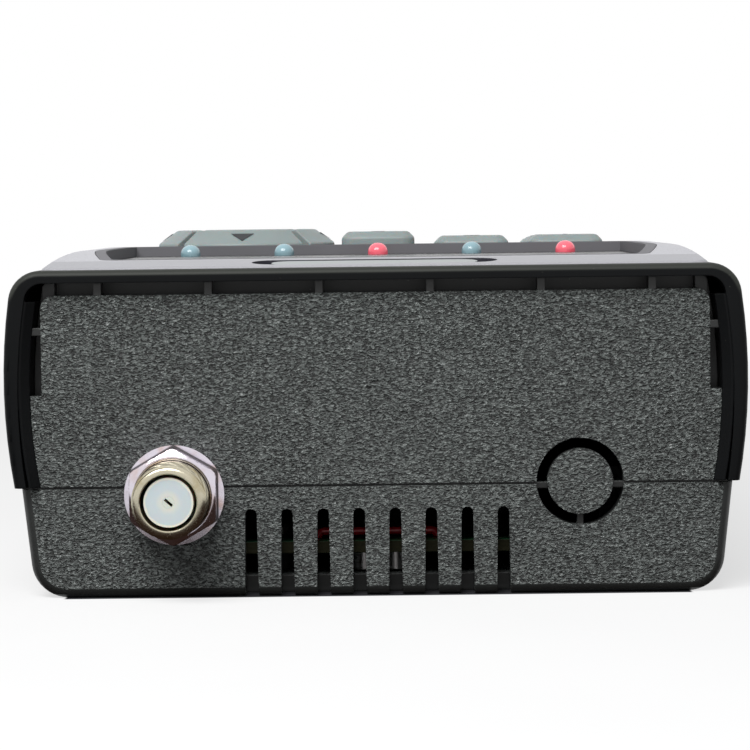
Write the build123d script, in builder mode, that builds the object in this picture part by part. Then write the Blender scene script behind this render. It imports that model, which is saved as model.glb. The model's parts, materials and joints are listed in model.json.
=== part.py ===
"""A handheld satellite signal meter that lies on its back.

The front face looks up (+Z), the end with the aerial socket faces -Y, and +X is to the right of
someone who looks at that end. Depths are measured from the rim of that end towards the far end.
"""

import os
from math import cos, radians, sin

from build123d import *

# Driving sizes of the case, in millimetres
BODY_LENGTH = 155.0
CASE_HALF_WIDTH = 47.95
PARTING_Z = 14.55
RIM_TOP_Z = 42.6
WIDEST_RISE = 13.45
CASE_WIDEST_Z = PARTING_Z + WIDEST_RISE
OVERRUN = 2.0
SEAT_GAP = 0.1
SLIP_GAP = 0.15

# Aerial socket on the near end: its axis, its thread and its nut
SOCKET_INSET = 21.75
SOCKET_DROP = 1.15
SOCKET_THREAD_DIAMETER = 9.5
SOCKET_REACH = 10.0
SOCKET_BORE_DIAMETER = 7.2
SOCKET_CHAMFER = 0.5
SOCKET_RUN_OUT = 0.35
SOCKET_RUN_OUT_GAP = 0.4
INSULATOR_RADIUS = 3.15
INSULATOR_SINK = 0.5
CONTACT_HOLE_RADIUS = 0.75
CONTACT_SINK = 1.2
CONTACT_SLIT = 0.35
CONTACT_SLIT_LENGTH = 3.0
CONTACT_TURN = 35.0
CONTACT_TAIL = 4.0
NUT_ACROSS_FLATS = 11.11
NUT_THICKNESS = 3.1
NUT_BEVEL = 0.9
NUT_TURN = 30.0
WASHER_DIAMETER = 12.95
WASHER_THICKNESS = 0.6

# The end walls lie back from the rim of the hood
WALL_RECESS = 1.5
END_WALL = 2.3
SOCKET_PAST_RIM = SOCKET_REACH - WALL_RECESS
NEAR_Y = -(BODY_LENGTH + SOCKET_PAST_RIM) / 2 + SOCKET_PAST_RIM
FAR_DEPTH = BODY_LENGTH - WALL_RECESS
INNER_START = WALL_RECESS + END_WALL
INNER_END = FAR_DEPTH - END_WALL

# Hood: the smooth cover round the front and the sides
HOOD_FOOT_DRAW = 1.15
HOOD_EYEBROW_DRAW = 1.4
HOOD_CORNER_RADIUS = 4.2
HOOD_BAND = 1.9
HOOD_SIDE = 3.25
HOOD_TOP = 1.65
HOOD_EDGE_RADIUS = 0.9
LINER_START = 0.4
LINER_DROP = 4.0
LINER_CHAMFER = 1.05
HOOD_UNDER_Z = RIM_TOP_Z - HOOD_TOP
LINER_TOP_Z = RIM_TOP_Z - LINER_DROP
HOOD_FOOT_HALF = CASE_HALF_WIDTH - HOOD_FOOT_DRAW
HOOD_EYEBROW_HALF = CASE_HALF_WIDTH - HOOD_EYEBROW_DRAW

# Rear shell
REAR_STEP = 1.8
REAR_DRAFT = 1.58
REAR_HALF_TOP = CASE_HALF_WIDTH - REAR_STEP
REAR_HALF_BASE = REAR_HALF_TOP - REAR_DRAFT
REAR_LEAN = REAR_DRAFT / PARTING_Z
REAR_CORNER_RADIUS = 4.8
REAR_WALL = 2.2
FLOOR = 2.3
REAR_INNER_RADIUS = 2.6
REAR_END_RADIUS = 1.5
PARTING_GROOVE = 0.3
PARTING_GROOVE_DEPTH = 0.6

# Front shell: the textured end walls and the tray inside the hood
TRAY_INSET = 4.8
TRAY_WALL = 1.65
TRAY_CORNER_RADIUS = 1.7
TRAY_EDGE_RADIUS = 0.8
TOP_SLIT_DROP = 3.3
SIDE_SLIT_HEIGHT = 12.9
FOOT_FLANGE = 1.65
RIB_WIDTH = 1.0
RIB_COUNT = 6
RIB_MARGIN = 7.4
SIDE_RIB_DROP = 4.6
BULKHEAD_DEPTH = 6.0
BULKHEAD = 1.5
BULKHEAD_HEIGHT = 10.95
RAIL_WIDTH = 2.0
TRAY_HALF = CASE_HALF_WIDTH - TRAY_INSET
TRAY_INNER_HALF = TRAY_HALF - TRAY_WALL
RIB_PITCH = 2 * (TRAY_HALF - RIB_MARGIN) / (RIB_COUNT - 1)
END_WALL_TOP_Z = RIM_TOP_Z - TOP_SLIT_DROP
SLIT_START_Z = END_WALL_TOP_Z - SIDE_SLIT_HEIGHT
SIDE_RIB_Z = END_WALL_TOP_Z - SIDE_RIB_DROP
BULKHEAD_BASE_Z = HOOD_UNDER_Z - BULKHEAD_HEIGHT

# Face: the silver frame, arched along its length
FACE_START = 2.2
FACE_INSET = 4.55
FACE_EDGE_RISE = 0.15
FACE_ARCH = 1.8
FACE_RISE_DEPTH = 45.0
FACE_FALL_RUN = 75.0
FACE_PLAN_RADIUS = 3.0
FACE_EDGE_RADIUS = 0.7
FACE_LEDGE = 1.5
FACE_LEDGE_DROP = 0.9
OPENING_START = 13.6
OPENING_END_MARGIN = 9.0
OPENING_SIDE_MARGIN = 2.4
OPENING_NEAR_DRAW = 4.5
OPENING_FAR_DRAW = 1.4
OPENING_WIDE_START = 60.0
OPENING_WIDE_RUN = 52.0
OPENING_CORNER_RADIUS = 2.5
FACE_HALF_WIDTH = CASE_HALF_WIDTH - FACE_INSET
FACE_EDGE_Z = RIM_TOP_Z + FACE_EDGE_RISE
FACE_PEAK_Z = FACE_EDGE_Z + FACE_ARCH
FACE_LEDGE_TOP_Z = RIM_TOP_Z - FACE_LEDGE_DROP
FACE_FALL_DEPTH = BODY_LENGTH - FACE_FALL_RUN
OPENING_END = BODY_LENGTH - OPENING_END_MARGIN
OPENING_WIDE_HALF = FACE_HALF_WIDTH - OPENING_SIDE_MARGIN
OPENING_NEAR_HALF = OPENING_WIDE_HALF - OPENING_NEAR_DRAW
OPENING_FAR_HALF = OPENING_WIDE_HALF - OPENING_FAR_DRAW
OPENING_WIDE_END = OPENING_WIDE_START + OPENING_WIDE_RUN

# Bare badge in the near strip of the face
BADGE_DEPTH = 7.9
BADGE_LENGTH = 32.2
BADGE_WIDTH = 6.0
BADGE_FLOOR_DROP = 0.3
BADGE_END_GAP = 2.6
BADGE_SIDE_GAP = 0.2
BADGE_SINK = 0.12
BADGE_FLOOR_Z = FACE_EDGE_Z - BADGE_FLOOR_DROP

# Window and the pieces under it
LENS_THICKNESS = 1.2
BEZEL_WIDTH = 1.6
KEY_FIELD_LENGTH = 53.8
DISPLAY_SIDE_MARGIN = 2.1
DISPLAY_START_MARGIN = 2.4
DISPLAY_END_MARGIN = 9.2
DISPLAY_TOP_GAP = 0.2
GLASS_MARGIN = 2.2
GLASS_THICKNESS = 1.1
LED_DIAMETER = 3.2
LED_BEFORE_END = 4.2
LED_COUNT = 5
LED_SIDE_MARGIN = 10.8
LED_RISE = 1.85
LED_DOME_RADIUS = 1.5
LED_COLLAR = 0.45
LED_COLLAR_HEIGHT = 0.9
RED_LEDS = (2, 4)
LENS_TOP_Z = FACE_LEDGE_TOP_Z + LENS_THICKNESS
LENS_END = OPENING_END - KEY_FIELD_LENGTH
PANEL_START = LENS_END + 2 * SEAT_GAP
LED_DEPTH = LENS_END - LED_BEFORE_END
LED_PITCH = 2 * (OPENING_WIDE_HALF - LED_SIDE_MARGIN) / (LED_COUNT - 1)
DISPLAY_START = OPENING_START + DISPLAY_START_MARGIN
DISPLAY_LENGTH = LENS_END - DISPLAY_END_MARGIN - DISPLAY_START
DISPLAY_HALF_WIDTH = OPENING_NEAR_HALF - DISPLAY_SIDE_MARGIN

# Upper board and the rubber mat of the keys
UPPER_BOARD_DROP = 4.1
BOARD_THICKNESS = 1.6
UPPER_BOARD_SIDE_GAP = 1.0
UPPER_BOARD_START = 12.0
UPPER_BOARD_END_GAP = 1.0
MAT_THICKNESS = 1.8
MAT_SIDE_MARGIN = 2.0
MAT_START_GAP = 1.2
MAT_END_MARGIN = 0.6
UPPER_BOARD_TOP_Z = FACE_LEDGE_TOP_Z - UPPER_BOARD_DROP
UPPER_BOARD_BASE_Z = UPPER_BOARD_TOP_Z - BOARD_THICKNESS
UPPER_BOARD_HALF = TRAY_INNER_HALF - UPPER_BOARD_SIDE_GAP
UPPER_BOARD_END = BODY_LENGTH - BULKHEAD_DEPTH - BULKHEAD - UPPER_BOARD_END_GAP
DISPLAY_FRAME_THICKNESS = UPPER_BOARD_DROP - DISPLAY_TOP_GAP
MAT_HALF = UPPER_BOARD_HALF - MAT_SIDE_MARGIN
MAT_START = PANEL_START + MAT_START_GAP
MAT_END = OPENING_END - MAT_END_MARGIN

# Keys
KEY_TRAVEL = 1.0
KEY_GAP = 0.25
KEY_FLANGE = 0.7
KEY_FLANGE_THICKNESS = 0.75
KEY_STEM_RADIUS = 2.6
KEY_STEM_GAP = 0.3
KEY_COLUMN_GAP = 3.5
KEY_ROW_GAP = 3.4
KEY_SIDE_MARGIN = 10.0
KEY_CORNER_RADIUS = 2.2
KEY_CHAMFER = 1.0
KEY_ROW_COUNT = 4
KEY_ROW_PITCH = 12.2
KEY_END_MARGIN = 8.9
KEY_COLUMN_RISES = (1.25, 1.25, 2.1)
FUNCTION_RISE = 2.1
KEY_COLUMN_PITCH = (OPENING_WIDE_HALF - KEY_SIDE_MARGIN) / 2
KEY_COLUMNS = (2 * KEY_COLUMN_PITCH, KEY_COLUMN_PITCH, 0)
KEY_WIDTH = KEY_COLUMN_PITCH - KEY_COLUMN_GAP
KEY_LENGTH = KEY_ROW_PITCH - KEY_ROW_GAP
KEY_LAST_ROW = OPENING_END - KEY_END_MARGIN
KEY_ROW_START = KEY_LAST_ROW - (KEY_ROW_COUNT - 1) * KEY_ROW_PITCH

# Ring of four arrow keys with a round key in the middle
RING_SIDE_MARGIN = 3.7
RING_KEY_GAP = 1.5
RING_BEFORE_LAST_ROW = 25.6
RING_INNER_RADIUS = 6.4
RING_CROWN_DRAW = 3.3
RING_RISE = 2.45
RING_LIP_RISE = 0.5
RING_KEY_COUNT = 4
RING_KEY_ARC = 84.0
OK_GAP = 0.8
OK_DROP = 0.4
OK_CHAMFER = 0.8
RING_DEPTH = KEY_LAST_ROW - RING_BEFORE_LAST_ROW
RING_RADIUS = (OPENING_WIDE_HALF - RING_SIDE_MARGIN - KEY_WIDTH / 2 - RING_KEY_GAP) / 2
RING_X = -(KEY_WIDTH / 2 + RING_KEY_GAP + RING_RADIUS)
RING_CROWN_RADIUS = RING_RADIUS - RING_CROWN_DRAW
RING_TOP_Z = FACE_PEAK_Z + RING_RISE
OK_RADIUS = RING_INNER_RADIUS - OK_GAP
OK_TOP_Z = RING_TOP_Z - OK_DROP
FUNCTION_COLUMNS = (RING_X + KEY_COLUMN_PITCH / 2, RING_X - KEY_COLUMN_PITCH / 2)

# Main board and what stands on it
MAIN_BOARD_LIFT = 2.9
MAIN_BOARD_SIDE_GAP = 2.57
MAIN_BOARD_START_GAP = 0.8
MAIN_BOARD_END_GAP = 4.0
BOARD_POST_RADIUS = 2.6
BOARD_SCREW_RADIUS = 1.0
BOARD_SCREW_HEAD_RADIUS = 2.0
BOARD_SCREW_HEAD = 1.2
BOARD_POST_MARGIN = 7.8
BOARD_POST_START = 8.4
BOARD_POST_END = 9.5
TUNER_POST_GAP = 5.6
TUNER_LEFT_REACH = 7.8
TUNER_RIGHT_REACH = 7.0
TUNER_GAP = 1.1
TUNER_LENGTH = 38.0
TUNER_HEIGHT = 13.4
TUNER_SHEET = 0.6
TUNER_VENT_RADIUS = 1.2
TUNER_VENT_PITCH = 5.0

# Air slots of the rear shell
VENT_COUNT = 8
VENT_MARGIN = 9.9
VENT_TOP_WIDTH = 1.5
VENT_BASE_WIDTH = 1.8
VENT_TOP_DROP = 3.15
VENT_UNDER = 3.85

# Blanked place of a second socket
BLANK_INSET = 21.65
BLANK_OUTER_RADIUS = 5.65
BLANK_RING_WIDTH = 1.4
BLANK_DISC_THICKNESS = 1.6
BLANK_TAB = 0.8
BLANK_TAB_RECESS = 0.6
SOCKET_X = -(CASE_HALF_WIDTH - SOCKET_INSET)
SOCKET_Z = PARTING_Z - SOCKET_DROP
BLANK_X = CASE_HALF_WIDTH - BLANK_INSET
BLANK_Z = PARTING_Z
BLANK_DISC_RADIUS = BLANK_OUTER_RADIUS - BLANK_RING_WIDTH
VENT_TOP_Z = PARTING_Z - VENT_TOP_DROP
VENT_PITCH = (BLANK_X - SOCKET_X - 2 * VENT_MARGIN) / (VENT_COUNT - 1)

# Case screws and their bosses
CASE_SCREW_MARGIN = 18.0
BOSS_RADIUS = 3.6
BOSS_ROOT = 0.3
BOSS_CAP = 2.8
SCREW_RADIUS = 1.4
SCREW_HEAD_RADIUS = 2.6
SCREW_HEAD = 1.8
SCREW_SINK = 2.2
SCREW_LENGTH = 22.0
SCREW_SLOT = 0.7
SCREW_CROSS = 1.6
BOSS_GAP = 0.4
CASE_SCREW_X = TRAY_INNER_HALF + BOSS_ROOT - BOSS_RADIUS
CASE_SCREW_DEPTHS = (CASE_SCREW_MARGIN, BODY_LENGTH - CASE_SCREW_MARGIN)
SCREW_TIP_Z = SCREW_SINK + SCREW_LENGTH
BOSS_TOP_Z = SCREW_TIP_Z + BOSS_CAP

# Battery bay, its sliding door and the pack
BAY_SIDE_GAP = 4.1
BAY_WALL = 2.0
BAY_END_WALL = 1.5
BAY_TOP_GAP = 0.2
CELL_DIAMETER = 18.3
CELL_LENGTH = 67.0
CELL_END_GAP = 1.7
DOOR_MARGIN = 0.8
DOOR_START_GAP = 2.6
DOOR_TONGUE = 1.4
DOOR_TONGUE_Z = 1.3
DOOR_THICKNESS = 2.2
DOOR_CELL_GAP = 0.5
DOOR_END_RADIUS = 1.2
DOOR_GRIP_COUNT = 5
DOOR_GRIP_PITCH = 2.2
DOOR_GRIP_WIDTH = 1.0
DOOR_GRIP_LENGTH = 16.0
DOOR_GRIP_SINK = 0.5
DOOR_GRIP_MARGIN = 17.5
CELL_REST_Z = DOOR_THICKNESS + DOOR_CELL_GAP
BAY_HALF = CELL_DIAMETER + BAY_SIDE_GAP
BAY_CEILING_Z = CELL_REST_Z + CELL_DIAMETER + BAY_TOP_GAP
BAY_START = INNER_END - CELL_END_GAP - CELL_LENGTH - 3 * BAY_END_WALL
DOOR_START = BAY_START + DOOR_START_GAP
DOOR_HALF = BAY_HALF - DOOR_MARGIN
DOOR_GRIP_DEPTH = FAR_DEPTH - DOOR_GRIP_MARGIN

# Sockets on the right side and the switch on the left side
SUPPLY_JACK_BOARD_MARGIN = 44.0
SUPPLY_JACK_RISE = 3.8
SUPPLY_JACK_WIDTH = 9.0
SUPPLY_JACK_LENGTH = 12.5
SUPPLY_JACK_HEIGHT = 7.4
SUPPLY_JACK_BORE_RADIUS = 2.9
SUPPLY_JACK_PIN_RADIUS = 1.0
SUPPLY_JACK_BORE = 9.5
SOUND_JACK_SPACING = 3.8
SOUND_JACK_RISE = 3.2
SOUND_JACK_WIDTH = 6.4
SOUND_JACK_HEIGHT = 6.2
SOUND_JACK_LENGTH = 14.0
SOUND_JACK_BORE_RADIUS = 1.8
SOUND_JACK_BORE = 12.0
DATA_SOCKET_SPACING = 4.5
DATA_SOCKET_WIDTH = 8.0
DATA_SOCKET_HEIGHT = 3.9
DATA_SOCKET_LENGTH = 9.0
DATA_SOCKET_SHEET = 0.5
DATA_TONGUE = 0.8
DATA_TONGUE_WIDTH = 5.0
SIDE_HOLE_GAP = 0.4
SWITCH_BOARD_MARGIN = 18.0
SWITCH_TRAVEL = 3.0
SWITCH_KNOB_LENGTH = 4.0
SWITCH_KNOB_HEIGHT = 3.0
SWITCH_KNOB_PROUD = 1.0
SWITCH_RISE = 3.2
SWITCH_BODY_LENGTH = 12.0
SWITCH_BODY_HEIGHT = 5.4
SWITCH_BODY_WIDTH = 6.0
SWITCH_SETBACK = 1.0
SWITCH_POCKET = 1.6
SWITCH_KNOB_RADIUS = 0.4

# Small pieces on the boards
SOUNDER_X = 16.0
SOUNDER_BOARD_MARGIN = 34.0
SOUNDER_RADIUS = 6.0
SOUNDER_HEIGHT = 7.5
SOUNDER_HOLE_RADIUS = 1.0
SOUNDER_HOLE = 2.5
CAPACITOR_RADIUS = 2.0
CAPACITOR_HEIGHT = 2.6
CAPACITOR_PLACES = ((-1.7, 9.0), (2.3, 9.0))
LINK_RADIUS = 0.55
LINK_HALF_SPAN = 7.8
LINK_DEPTH = 8.0
LINK_HEIGHT = 0.3
LINK_BEND_RADIUS = 0.7
RIBBON_X = 6.0
RIBBON_WIDTH = 18.0
RIBBON_BOARD_MARGIN = 14.0
RIBBON_THICKNESS = 0.3
RIBBON_HEADER_HEIGHT = 3.0
RIBBON_HEADER_WIDTH = 4.0
RIBBON_HEADER_MARGIN = 1.5
PLUG_X = -4.0
PLUG_BOARD_MARGIN = 4.0
PLUG_LENGTH = 8.0
PLUG_WIDTH = 5.0
PLUG_HEIGHT = 6.0
LEAD_RADIUS = 0.75
LEAD_PITCH = 2.5
LEAD_BEND_RADIUS = 2.4
LEAD_RISE = 4.2

# Places that follow from the sizes above
TUNER_LEFT_X = SOCKET_X - TUNER_LEFT_REACH
TUNER_RIGHT_X = SOCKET_X + TUNER_RIGHT_REACH
TUNER_START = INNER_START + TUNER_GAP
MAIN_BOARD_BASE_Z = FLOOR + MAIN_BOARD_LIFT
MAIN_BOARD_TOP_Z = MAIN_BOARD_BASE_Z + BOARD_THICKNESS
MAIN_BOARD_HALF = REAR_HALF_BASE - REAR_WALL - MAIN_BOARD_SIDE_GAP
MAIN_BOARD_START = INNER_START + MAIN_BOARD_START_GAP
MAIN_BOARD_END = BAY_START - MAIN_BOARD_END_GAP
POST_NEAR_DEPTH = MAIN_BOARD_START + BOARD_POST_START
POST_FAR_DEPTH = MAIN_BOARD_END - BOARD_POST_END
POST_SIDE_X = MAIN_BOARD_HALF - BOARD_POST_MARGIN
BOARD_POSTS = (
    (POST_SIDE_X, POST_NEAR_DEPTH),
    (TUNER_RIGHT_X + TUNER_POST_GAP, POST_NEAR_DEPTH),
    (POST_SIDE_X, POST_FAR_DEPTH),
    (-POST_SIDE_X, POST_FAR_DEPTH),
)
JACK_FRONT_X = REAR_HALF_BASE + REAR_LEAN * MAIN_BOARD_TOP_Z - REAR_WALL - SEAT_GAP
SWITCH_FACE_X = JACK_FRONT_X - SWITCH_SETBACK
SUPPLY_JACK_DEPTH = MAIN_BOARD_END - SUPPLY_JACK_BOARD_MARGIN
DATA_SOCKET_DEPTH = SUPPLY_JACK_DEPTH + (SUPPLY_JACK_WIDTH + DATA_SOCKET_WIDTH) / 2 + DATA_SOCKET_SPACING
SOUND_JACK_DEPTH = DATA_SOCKET_DEPTH + (DATA_SOCKET_WIDTH + SOUND_JACK_WIDTH) / 2 + SOUND_JACK_SPACING
SWITCH_DEPTH = MAIN_BOARD_END - SWITCH_BOARD_MARGIN
SOUNDER_DEPTH = MAIN_BOARD_END - SOUNDER_BOARD_MARGIN
SUPPLY_JACK_Z = MAIN_BOARD_TOP_Z + SUPPLY_JACK_RISE
SOUND_JACK_Z = MAIN_BOARD_TOP_Z + SOUND_JACK_RISE
SWITCH_Z = MAIN_BOARD_TOP_Z + SWITCH_RISE
RIBBON_DEPTH = MAIN_BOARD_END - RIBBON_BOARD_MARGIN
PLUG_DEPTH = MAIN_BOARD_END - PLUG_BOARD_MARGIN
LEAD_Z = MAIN_BOARD_TOP_Z + PLUG_HEIGHT + LEAD_RISE
KEY_FLANGE_TOP_Z = FACE_LEDGE_TOP_Z - SEAT_GAP / 2
KEY_FLANGE_BASE_Z = KEY_FLANGE_TOP_Z - KEY_FLANGE_THICKNESS
KEY_STEM_BASE_Z = UPPER_BOARD_TOP_Z + KEY_TRAVEL + SEAT_GAP


def at(depth):
    """The y of a depth behind the rim of the near end."""
    return NEAR_Y + depth


def end_plane(depth):
    """A plane parallel to the near end, whose sketches read X to the right and Z up."""
    return Plane.XZ.offset(-at(depth))


def hood_section(side, top, foot_z, corner_radius):
    """The outline of the hood, set in by side and top, closed along foot_z."""
    corner = (HOOD_EYEBROW_HALF - side, RIM_TOP_Z - top)
    with BuildSketch(Plane.XY, mode=Mode.PRIVATE) as section:
        with BuildLine():
            Polyline((0, foot_z), (HOOD_FOOT_HALF - side, foot_z))
            ThreePointArc((HOOD_FOOT_HALF - side, foot_z), (CASE_HALF_WIDTH - side, CASE_WIDEST_Z), corner)
            Polyline(corner, (0, RIM_TOP_Z - top), (0, foot_z))
        make_face()
        mirror(about=Plane.YZ)
        fillet(section.vertices().group_by(Axis.Y)[-1], radius=corner_radius)
    return section.sketch


def rear_section(side, floor_z, corner_radius, top_z):
    """The outline of the rear shell, set in by side, from floor_z up to top_z."""
    half_low = REAR_HALF_BASE + REAR_LEAN * floor_z - side
    half_high = REAR_HALF_BASE + REAR_LEAN * top_z - side
    with BuildSketch(Plane.XY, mode=Mode.PRIVATE) as section:
        Polygon(
            (-half_low, floor_z),
            (half_low, floor_z),
            (half_high, top_z),
            (-half_high, top_z),
            align=None,
        )
        fillet(section.vertices().group_by(Axis.Y)[0], radius=corner_radius)
    return section.sketch


def placed(sketch, depth):
    """A section drawn in X and Z, carried to a depth."""
    return end_plane(depth) * sketch


def opening_outline(inset, start, end):
    """The barrel outline of the opening in the face, set in by inset and cut at start and end."""
    with BuildSketch(Plane.XY, mode=Mode.PRIVATE) as outline:
        with BuildLine():
            near = (OPENING_NEAR_HALF, at(OPENING_START))
            wide_near = (OPENING_WIDE_HALF, at(OPENING_WIDE_START))
            wide_far = (OPENING_WIDE_HALF, at(OPENING_WIDE_END))
            far = (OPENING_FAR_HALF, at(OPENING_END))
            TangentArc(wide_near, near, tangent=(0, -1))
            Line(wide_near, wide_far)
            TangentArc(wide_far, far, tangent=(0, 1))
            Line(far, (0, at(OPENING_END)))
            Line((0, at(OPENING_END)), (0, at(OPENING_START)))
            Line((0, at(OPENING_START)), near)
        make_face()
        mirror(about=Plane.YZ)
        fillet(outline.vertices().group_by(Axis.Y)[0], radius=OPENING_CORNER_RADIUS)
        fillet(outline.vertices().group_by(Axis.Y)[-1], radius=OPENING_CORNER_RADIUS)
        if inset:
            offset(amount=-inset, kind=Kind.INTERSECTION, mode=Mode.REPLACE)
        with Locations((0, at((start + end) / 2))):
            Rectangle(2 * CASE_HALF_WIDTH, end - start, mode=Mode.INTERSECT)
    return outline.sketch


def face_profile(base_z):
    """The arched side view of the face, from base_z up, drawn with y across and z up."""
    far = BODY_LENGTH - FACE_START
    with BuildSketch(Plane.XY, mode=Mode.PRIVATE) as profile:
        with BuildLine():
            rise = (at(FACE_RISE_DEPTH), FACE_PEAK_Z)
            fall = (at(FACE_FALL_DEPTH), FACE_PEAK_Z)
            TangentArc(rise, (at(FACE_START), FACE_EDGE_Z), tangent=(-1, 0))
            Line(rise, fall)
            TangentArc(fall, (at(far), FACE_EDGE_Z), tangent=(1, 0))
            Polyline(
                (at(far), FACE_EDGE_Z),
                (at(far), base_z),
                (at(FACE_START), base_z),
                (at(FACE_START), FACE_EDGE_Z),
            )
        make_face()
    return profile.sketch


def face_height(depth):
    """The height of the arched face at a depth, on its far slope."""
    run = at(BODY_LENGTH - FACE_START) - at(FACE_FALL_DEPTH)
    drop = FACE_PEAK_Z - FACE_EDGE_Z
    curve_radius = (run**2 + drop**2) / (2 * drop)
    beyond = max(depth - FACE_FALL_DEPTH, 0)
    return FACE_PEAK_Z - curve_radius + (curve_radius**2 - beyond**2) ** 0.5


def finish(part, name):
    """Labels a piece and writes it under its name."""
    part.label = name
    export_step(part, os.path.join("parts", name + ".step"))


os.makedirs("parts", exist_ok=True)

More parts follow.
